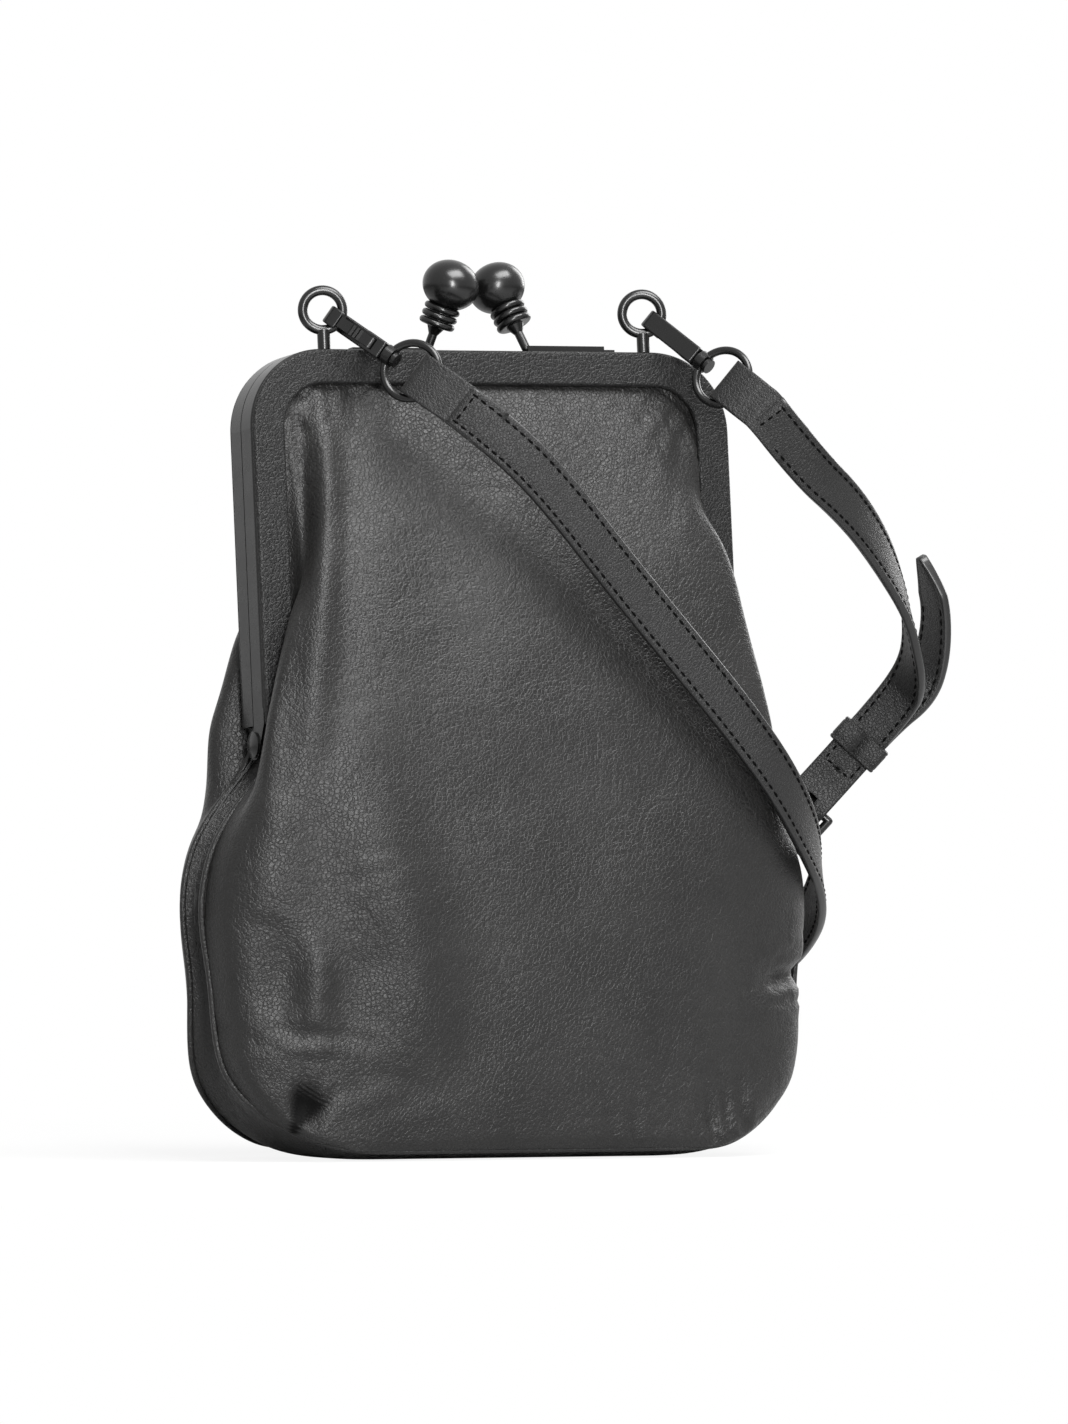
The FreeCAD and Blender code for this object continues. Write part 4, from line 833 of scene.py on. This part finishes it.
# the gusset crinkles in its middle, away from its seams, the base and the floor
gussetLook = {"unevenness": 0.5, "lumpScale": 60.0, "lumpSeed": 9.0, "crinkle": 0.35, "crinkleScale": 200.0,
              "crinkleSeed": 2.0, "sideHalf": 0.0055, "baseHalf": 0.02, "baseReach": 0.012, "from": 6,
              "fade": 10}
gussetSkin = gussetPiece("gussetLeather", 0.0, 3, softLeather)
co, normal = readPoints(gussetSkin)
half = gussetLook["sideHalf"] + gussetLook["baseHalf"] * np.exp(-(co[:, 2] / gussetLook["baseReach"]) ** 2)
slack = 1 - np.clip(np.abs(co[:, 1]) / half, 0, 1)
slack = slack * np.clip((co[:, 2] / mm - gussetLook["from"]) / gussetLook["fade"], 0, 1)
lift = gussetLook["unevenness"] * lumps(co, gussetLook["lumpScale"], gussetLook["lumpSeed"])
lift -= gussetLook["crinkle"] * crinkles(co, gussetLook["crinkleScale"], gussetLook["crinkleSeed"])
writePoints(gussetSkin, co + normal * (lift * slack * mm)[:, None])
thickened(gussetSkin, pouch["leather"] * mm)
done(gussetSkin, "soft_leather", "purse", "gusset")

# linings, a little inside the leather
inset, wall = pouch["liningInset"], pouch["liningWall"] * mm
frontLining = wrinkled(panelPiece("frontLiningCloth", -1, inset, 2, liningCloth), frontWrinkles)
done(thickened(frontLining, wall), "lining_cloth", "purse", "front_lining")
backLining = wrinkled(panelPiece("backLiningCloth", 1, inset, 2, liningCloth), backWrinkles)
done(thickened(backLining, wall), "lining_cloth", None, "back_lining", "back_lining_upper")
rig.blend(backLining, "purse", "back_half", start=bendStart, end=bendEnd)
gussetLining = gussetPiece("gussetLiningCloth", inset, 2, liningCloth)
done(thickened(gussetLining, wall), "lining_cloth", "purse", "gusset_lining")
print("gusset and linings made")


# Piping in the two seams

piping = {"radius": 0.85, "out": 1.05, "proud": 0.45, "proudFrom": 20, "sides": 10, "order": 4}


def routePoints(poles, order=3):
    # points read from the smooth route that these poles control
    data = bpy.data.curves.new("route", "CURVE")
    data.dimensions = "3D"
    data.resolution_u = 12
    spline = data.splines.new("NURBS")
    spline.points.add(len(poles) - 1)
    for point, pole in zip(spline.points, poles):
        point.co = (*pole, 1)
    spline.order_u = order
    spline.use_endpoint_u = True
    carrier = bpy.data.objects.new("route", data)
    scene.collection.objects.link(carrier)
    mesh = bpy.data.meshes.new_from_object(carrier.evaluated_get(bpy.context.evaluated_depsgraph_get()))
    points = [v.co.copy() for v in mesh.vertices]
    bpy.data.objects.remove(carrier)
    bpy.data.curves.remove(data)
    bpy.data.meshes.remove(mesh)
    return points


def pipingPiece(name, side, node):
    poles = []
    for across, height, depth, fold in seamPoles():
        proud = math.copysign(piping["proud"], across) * min(height / piping["proudFrom"], 1)
        poles.append(Vector((across + proud, side * (depth + piping["out"]), seamLifted(height))) * mm)
    path = routePoints(poles, piping["order"])
    sides = piping["sides"]

    def place(i, j):
        ahead = (path[min(j + 1, len(path) - 1)] - path[max(j - 1, 0)]).normalized()
        out = Vector((0, 1, 0)) - ahead * ahead.y
        out.normalize()
        turn = 2 * math.pi * (i % sides) / sides
        return path[j] + (out * math.cos(turn) + ahead.cross(out) * math.sin(turn)) * (piping["radius"] * mm)

    piece = gridPiece(name, sides, len(path) - 1, place, [softLeather], closed=True)
    return done(piece, "soft_leather", "purse", node)


pipingPiece("frontPipingCord", -1, "front_piping")
pipingPiece("backPipingCord", 1, "back_piping")


# The two straps

strap = {
    "width": 12.0, "thickness": 2.4, "tipLength": 11.0, "tipWidth": 2.0, "tipPower": 0.85, "foldEnd": 8.8,
    "layer": 1.2, "ringEye": 1.35, "ringSag": 4.17, "meet": 3.0, "slim": 0.1, "faceReach": 10,
    "edgeFrom": 0.95, "stitchIn": 1.75, "stitchPitch": 2.6, "stitchLength": 1.9, "stitchRadius": 0.36,
    "stitchFlat": 0.8, "stitchSink": 0.94, "stitchStart": 2.2, "stitchStop": 2,
    "endStitches": (-0.62, 0, 0.62), "endIn": 2.0,
    # across and up, as shares of the half width and half thickness, round the section
    "section": [(-1, 0), (-0.985, 0.55), (-0.93, 0.93), (-0.82, 1.02), (-0.71, 0.84), (-0.6, 1.02),
                (-0.25, 1.05), (0.25, 1.05), (0.6, 1.02), (0.71, 0.84), (0.82, 1.02), (0.93, 0.93),
                (0.985, 0.55), (1, 0), (0.985, -0.55), (0.93, -0.93), (0.82, -1.02), (0.71, -0.84),
                (0.6, -1.02), (0.25, -1.05), (-0.25, -1.05), (-0.6, -1.02), (-0.71, -0.84), (-0.82, -1.02),
                (-0.93, -0.93), (-0.985, -0.55)],
}
shortRoute = {
    "wire": (63.25, -17.99, 199.77), "along": (0.419408, -0.718985, -0.554218),
    "face": (-0.7063, -0.6420, 0.2984),
    "points": [
        ((79.3, -24, 180.8), (-0.42, -0.9, 0.1)), ((94.2, -19, 170.4), (-0.1, -0.95, 0.25)),
        ((107.4, -11, 158.5), (0.25, -0.88, 0.35)), ((119.2, -2, 144.1), (0.8, -0.5, 0.3)),
        ((125, 5.5, 132.4), (0.97, -0.22, 0.2)), ((126.8, 10.8, 125.6), (0.94, 0.2, 0.15)),
        ((125.6, 16.6, 118.6), (0.44, 0.895, 0.02)), ((110.36, 24.35, 99.79), (0.44, 0.895, 0.02))],
}
longRoute = {
    "wire": (-24.96, -16.16, 200.83), "along": (0.53069, -0.66086, -0.53069),
    "face": (-0.6704, -0.7104, 0.2142),
    "points": [
        ((-7.5, -26, 186), (-0.4, -0.9, 0.1)), ((5.9, -28, 172.3), (-0.2, -0.97, 0.1)),
        ((22.8, -29, 152), (-0.2, -0.97, 0.1)), ((39.9, -30, 132.6), (-0.2, -0.97, 0.1)),
        ((55.2, -30.5, 115.4), (-0.1, -0.98, 0.1)), ((69.8, -29, 98), (0.15, -0.98, 0.1)),
        ((82.4, -20, 82.2), (0.45, -0.88, 0.1)), ((92.6, -5, 71), (0.92, -0.35, 0.15)),
        ((97.2, 12, 60.6), (0.95, 0.3, 0.1)), ((95, 30, 50), (0.75, 0.66, 0)), ((82, 46, 38), (0.5, 0.86, 0)),
        ((58, 56, 24), (0.3, 0.95, 0)), ((25, 60, 14), (0.1, 1, 0)), ((-8, 66, 9), (0.1, 0.99, 0)),
        ((-24, 78, 8), (1, 0, 0)), ((-10, 92, 9), (0.3, -0.95, 0)), ((25, 90, 14), (0, -0.8, 0.6)),
        ((58, 74, 30), (0, 0, 1)), ((80, 54, 54), (0.1, 0.7, 0.7)), ((90.9, 30.7, 77.5), (0.44, 0.895, 0.02)),
        ((96.1, 28.1, 83.9), (0.44, 0.895, 0.02)), ((101, 29.5, 88.1), (0.2, 0.96, -0.2)),
        ((106.4, 32, 92.3), (0.44, 0.895, 0.02)), ((111, 27.2, 99.1), (0.44, 0.895, 0.02)),
        ((124.1, 20.3, 115.4), (0.44, 0.895, 0.02)), ((133, 19, 121.9), (0.7, 0.65, -0.1)),
        ((136.6, 17.5, 130.6), (0.93, 0.3, 0)), ((137.2, 16, 141.5), (0.99, 0.1, 0.05)),
        ((134.8, 14.5, 150.3), (0.98, 0.08, 0.2)), ((131, 13, 157.4), (0.95, 0.08, 0.3))],
}


def strapFrames(route):
    # the strap's line, the way across it and its face at each point of the smooth route
    start = Vector(route["wire"]) + Vector(route["along"]) * strap["foldEnd"]
    rows = ([(start, Vector(route["face"]))]
            + [(Vector(p), Vector(f).normalized()) for p, f in route["points"]])
    line = routePoints([p * mm for p, f in rows])
    lifted = routePoints([(p + f * strap["faceReach"]) * mm for p, f in rows])
    frames = []
    for k, point in enumerate(line):
        ahead = (line[min(k + 1, len(line) - 1)] - line[max(k - 1, 0)]).normalized()
        across = ahead.cross(lifted[k] - point).normalized()
        frames.append((point, ahead, across, across.cross(ahead)))
    return frames


def lengthsAlong(frames):
    return np.cumsum([0.0] + [(b[0] - a[0]).length for a, b in zip(frames, frames[1:])])


def strapRibbon(name, frames, pointed):
    far = lengthsAlong(frames)
    section = strap["section"]

    def place(i, j):
        point, ahead, across, up = frames[j]
        left = (far[-1] - far[j]) / mm
        taper = min(left / strap["tipLength"], 1) ** strap["tipPower"] if pointed else 1
        # it comes out from inside the ring's fold
        slim = 1 - strap["slim"] * max(0.0, 1 - far[j] / (strap["meet"] * mm))
        half = (strap["tipWidth"] + (strap["width"] - strap["tipWidth"]) * taper) / 2
        side, lift = section[i % len(section)]
        return point + across * (side * half * mm) + up * (lift * slim * strap["thickness"] / 2 * mm)

    piece = gridPiece(name, len(section), len(frames) - 1, place, [strapLeather, edgePaint], closed=True)
    around = piece.data.uv_layers["along"].data
    painted = [abs(side) > strap["edgeFrom"] for side, lift in section]
    for face in piece.data.polygons:
        share = sum(around[loop].uv.x for loop in face.loop_indices) / face.loop_total
        k = int(share * len(section))
        if painted[k] or painted[(k + 1) % len(section)]:
            face.material_index = 1
    return piece


def stitchRows(name, frames, ends, pointed):
    # dashes of thread in two rows on both faces, and across the strap at its ends
    far = lengthsAlong(frames)
    bm = bmesh.new()
    ball = bmesh.new()
    bmesh.ops.create_uvsphere(ball, u_segments=6, v_segments=4, radius=strap["stitchRadius"] * mm)
    ball.verts.index_update()

    def at(distance):
        k = int(np.searchsorted(far, distance))
        k = min(max(k, 1), len(frames) - 1)
        share = (distance - far[k - 1]) / max(far[k] - far[k - 1], 1e-9)
        return [a.lerp(b, share) for a, b in zip(frames[k - 1], frames[k])]

    def dash(point, ahead, side, up):
        stretch = strap["stitchLength"] / 2 / strap["stitchRadius"]
        made = [bm.verts.new(point + ahead * (v.co.z * stretch) + side * v.co.x
                             + up * (v.co.y * strap["stitchFlat"])) for v in ball.verts]
        for face in ball.faces:
            bm.faces.new([made[v.index] for v in face.verts])

    reach = (strap["width"] / 2 - strap["stitchIn"]) * mm
    height = strap["thickness"] / 2 * strap["stitchSink"] * mm
    stop = far[-1] - (strap["tipLength"] * mm if pointed else 0)
    distance = strap["stitchStart"] * mm
    while distance < stop - strap["stitchStop"] * mm:
        point, ahead, across, up = at(distance)
        for side in (-1, 1):
            for face in (-1, 1):
                dash(point + across * (side * reach) + up * (face * height), ahead, across, up)
        distance += strap["stitchPitch"] * mm
    for end in ends:
        point, ahead, across, up = at(end * mm)
        for step in strap["endStitches"]:
            for face in (-1, 1):
                dash(point + across * (step * reach) + up * (face * height), across, ahead, up)
    ball.free()
    bmesh.ops.recalc_face_normals(bm, faces=bm.faces)
    return linked(name, bm, [stitchThread])


# a strap's turned end in millimetres: where its layers close up, turn round the wire and lie in the strap
turned = {"close": 5.5, "closed": 0.95, "eyeEnd": 0.3, "waist": 0.5, "turn": 0.8, "turnWidth": 0.92,
          "endWidth": 0.45, "apart": 0.6, "nearer": 0.02, "into": (0, 5), "slitHalf": 1.5, "wall": 0.96,
          "edges": [-6, -5.4, -4, -2.6, -1.5, 0, 1.5, 2.6, 4, 5.4, 6]}


def strapFold(name, wire, along, face, eye, sag, slot, frames):
    # the end turned back round a wire, open between its two layers, which run on inside the strap
    along, face = Vector(along).normalized(), Vector(face).normalized()
    side = along.cross(face)
    wide = eye + strap["layer"] / 2
    half = [(turned["close"], turned["closed"]), (eye + turned["eyeEnd"], wide),
            (-sag * turned["waist"], wide), (-sag - turned["turn"], wide * turned["turnWidth"]),
            (-sag - wide, wide * turned["endWidth"])]
    bend = [(Vector(wire) + along * x + face * y) * mm
            for x, y in half + [(x, -y) for x, y in reversed(half)]]
    near, inside = (frames[k][0] for k in turned["into"])
    lift = []
    for k in turned["into"]:
        up = frames[k][3]
        lift.append(up * (math.copysign(turned["apart"] - turned["nearer"] * k, up.dot(face)) * mm))
    path = routePoints([inside + lift[1], near + lift[0]] + bend + [near - lift[0], inside - lift[1]])
    edges = turned["edges"]
    piece = gridPiece(name, len(edges) - 1, len(path) - 1,
                      lambda i, j: path[j] + side * (edges[i] * mm), [strapLeather, edgePaint])
    if slot:
        bm = bmesh.new()
        bm.from_mesh(piece.data)
        cut = []
        for f in bm.faces:
            off = f.calc_center_median() - Vector(wire) * mm
            if abs(off.dot(side)) < turned["slitHalf"] * mm and off.dot(along) < slot * mm:
                cut.append(f)
        bmesh.ops.delete(bm, geom=cut, context="FACES")
        bm.to_mesh(piece.data)
        bm.free()
    thickened(piece, strap["layer"] * turned["wall"] * mm, 0.0)
    piece.modifiers["wall"].material_offset_rim = 1
    return piece


def ringFold(name, route, frames):
    wire, along, face = (route[key] for key in ("wire", "along", "face"))
    return strapFold(name, wire, along, face, strap["ringEye"], strap["ringSag"], None, frames)


buckle = {"bar": Vector((104.4, 27.5, 92.4)), "up": Vector((0.59576, -0.31540, 0.73864)),
          "face": Vector((0.44432, 0.89555, 0.02403)), "eye": 1.4, "sag": 0.0, "slit": 2.5}
buckle["side"] = buckle["up"].cross(buckle["face"])

shortFrames = strapFrames(shortRoute)
shortLength = float(lengthsAlong(shortFrames)[-1])
shortStrap = strapRibbon("shortStrapLeather", shortFrames, False)
shortEnds = (strap["endIn"], shortLength / mm - strap["endIn"])
shortStitches = stitchRows("shortStrapStitches", shortFrames, shortEnds, False)
shortFold = ringFold("shortStrapRingFold", shortRoute, shortFrames)
buckleFold = strapFold("shortStrapBuckleFold", buckle["bar"], buckle["up"], buckle["face"], buckle["eye"],
                       buckle["sag"], buckle["slit"], shortFrames[::-1])
longFrames = strapFrames(longRoute)
longLength = float(lengthsAlong(longFrames)[-1])
longStrap = strapRibbon("longStrapLeather", longFrames, True)
longStitches = stitchRows("longStrapStitches", longFrames, (strap["endIn"],), True)
longFold = ringFold("longStrapRingFold", longRoute, longFrames)

keeper = {
    "half": 7.5, "low": -2.7, "high": 5.55, "corner": 1.6, "cornerSteps": 6, "fromBar": 20.5, "wall": 1.08,
    "gap": 0.25, "jointReach": 0.4,
    # along the strap and sunk below the face: rounded edges and a creased line near each
    "profile": [(-3.5, 0.45), (-3.3, 0.12), (-2.9, 0), (-2.5, 0.16), (-2.1, 0), (-0.7, 0), (0.7, 0), (2.1, 0),
                (2.5, 0.16), (2.9, 0), (3.3, 0.12), (3.5, 0.45)],
}


def keeperBand(name):
    half, low, high, corner = (keeper[key] for key in ("half", "low", "high", "corner"))
    middle, profile, steps = (low + high) / 2, keeper["profile"], keeper["cornerSteps"]
    loop = []
    for cx, cy, start in ((half - corner, low + corner, -90), (half - corner, high - corner, 0),
                          (corner - half, high - corner, 90), (corner - half, low + corner, 180)):
        for step in range(steps):
            turn = math.radians(start + 90 / (steps - 1) * step)
            loop.append((cx + corner * math.cos(turn), cy + corner * math.sin(turn)))
    joint = [(keeper["gap"] / 2, low), (half * keeper["jointReach"], low)]
    loop = joint + loop + [(-x, y) for x, y in reversed(joint)]

    def place(i, j):
        x, y = loop[i]
        along, sunk = profile[j]
        x -= math.copysign(min(sunk, abs(x)), x) if abs(x) > half - corner else 0
        y -= math.copysign(sunk, y - middle) if abs(y - middle) > (high - low) / 2 - corner else 0
        point = buckle["bar"] + buckle["up"] * (keeper["fromBar"] + along)
        return (point + buckle["side"] * x + buckle["face"] * y) * mm

    piece = gridPiece(name, len(loop) - 1, len(profile) - 1, place, [strapLeather, edgePaint])
    facedOutwards(piece, (buckle["bar"] + buckle["up"] * keeper["fromBar"] + buckle["face"] * middle) * mm)
    thickened(piece, keeper["wall"] * mm)
    piece.modifiers["wall"].material_offset_rim = 1
    return piece


keeperPiece = done(keeperBand("keeperLeather"), "strap_leather", "keeper", "strap_keeper")

for piece, node in ((shortStrap, "short_strap"), (longStrap, "long_strap")):
    done(piece, "strap_leather", "purse", node)
for piece in (shortStitches, longStitches, shortFold, buckleFold, longFold):
    done(piece, "strap_leather", "purse")

shortLine, longLine = ([f[0] for f in frames] for frames in (shortFrames, longFrames))
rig.cord(shortStrap, exit=shortLine[0], length=shortLength, diameter=strap["width"] * mm,
        far_end="fitting", stiffness="medium", lay="hanging", path=shortLine,
        with_pieces=[shortStitches, shortFold, buckleFold, nodes["buckle_frame"], nodes["buckle_prong"],
                     nodes["right_strap_ring"], keeperPiece])
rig.cord(longStrap, exit=longLine[0], length=longLength, diameter=strap["width"] * mm,
        far_end="bare", stiffness="medium", lay="loose", path=longLine,
        with_pieces=[longStitches, longFold, nodes["left_strap_ring"]])
print("straps:", round(shortLength, 4), round(longLength, 4))


# Finishes of the parts that keep their own shape

keptFinishes = [("cover", frameLeather), ("cord", paperCord), ("spring", springSteel), ("", blackMetal)]
for name, node in nodes.items():
    if not node.hide_render:
        finish = next(made for word, made in keptFinishes if word in name)
        for slot in node.material_slots:
            slot.material = finish
print("kept parts finished:", sum(not node.hide_render for node in nodes.values()))


# Floor, light and camera

studio = {"floor": 9.0, "floorLevel": 0.55, "worldFill": 0.12, "nearGlow": 0.88, "nearReach": 0.1,
          "farReach": 0.42, "distance": 4.0, "width": 0.2789, "aimAcross": 0.01044,
          "aimHeight": 0.1162, "sensor": 36.0}

floorFinish = Finish("paleFloor", Base_Color=grey(studio["floorLevel"]), Roughness=0.9)
seenDirectly = floorFinish.add("LightPath", out="Is Camera Ray")
# the floor is lit like the object near it, and as pale as the backdrop further off
fromObject = floorFinish.add("VectorMath", {"operation": "LENGTH"}, out="Value", Vector=floorFinish.place)
paleness = floorFinish.range(fromObject, studio["nearReach"], studio["farReach"], studio["nearGlow"], 1.0)
glow = floorFinish.add("Emission", out="Emission", Color=grey(1), Strength=1.0)
floorFinish.overlay(seenDirectly * paleness, glow)
bm = bmesh.new()
bmesh.ops.create_grid(bm, x_segments=1, y_segments=1, size=studio["floor"])
floor = linked("studioFloor", bm, [floorFinish.material])
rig.stage(floor)

world = bpy.data.worlds.new("studioWorld")
scene.world = world
world.use_nodes = True
tree = world.node_tree
rays = tree.nodes.new("ShaderNodeLightPath").outputs
direct = sum(Wire(tree, rays[f"Is {kind} Ray"]) for kind in ("Camera", "Glossy", "Transmission"))
fill = tree.nodes["Background"]
fill.inputs["Color"].default_value = grey(1)
feed(tree, fill.inputs["Strength"], studio["worldFill"] + direct * (1 - studio["worldFill"]))


def softbox(name, place, target, size, power):
    data = bpy.data.lights.new(name, "AREA")
    data.shape = "RECTANGLE"
    data.size, data.size_y = size
    data.energy = power
    lamp = bpy.data.objects.new(name, data)
    lamp.location = place
    lamp.rotation_euler = (Vector(target) - Vector(place)).to_track_quat("-Z", "Y").to_euler()
    scene.collection.objects.link(lamp)


softbox("keyBox", (-0.36, -1.25, 0.42), (0, 0, 0.1), (0.22, 0.6), 22.0)
softbox("topBox", (0.15, -0.6, 1.2), (0, 0, 0.12), (1.0, 0.6), 36.0)
softbox("rimBox", (0.9, 0.5, 0.6), (0, 0, 0.12), (0.4, 0.8), 6.0)

right = Vector((math.cos(cameraTurn), math.sin(cameraTurn), 0))
towards = Vector((-math.sin(cameraTurn), math.cos(cameraTurn), 0))
lens = bpy.data.cameras.new("photoCamera")
lens.sensor_fit = "HORIZONTAL"
lens.sensor_width = studio["sensor"]
lens.lens = studio["sensor"] * studio["distance"] / studio["width"]
camera = bpy.data.objects.new("photoCamera", lens)
camera.location = (right * studio["aimAcross"] + Vector((0, 0, studio["aimHeight"]))
                   - towards * studio["distance"])
camera.rotation_euler = towards.to_track_quat("-Z", "Y").to_euler()
scene.collection.objects.link(camera)
scene.camera = camera
scene.view_settings.view_transform = "Standard"
print("stage set")

with open("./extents.json", "w") as sizes:
    json.dump({"cad": cadBox, "visual": [list(corner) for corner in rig.bounds()]}, sizes)
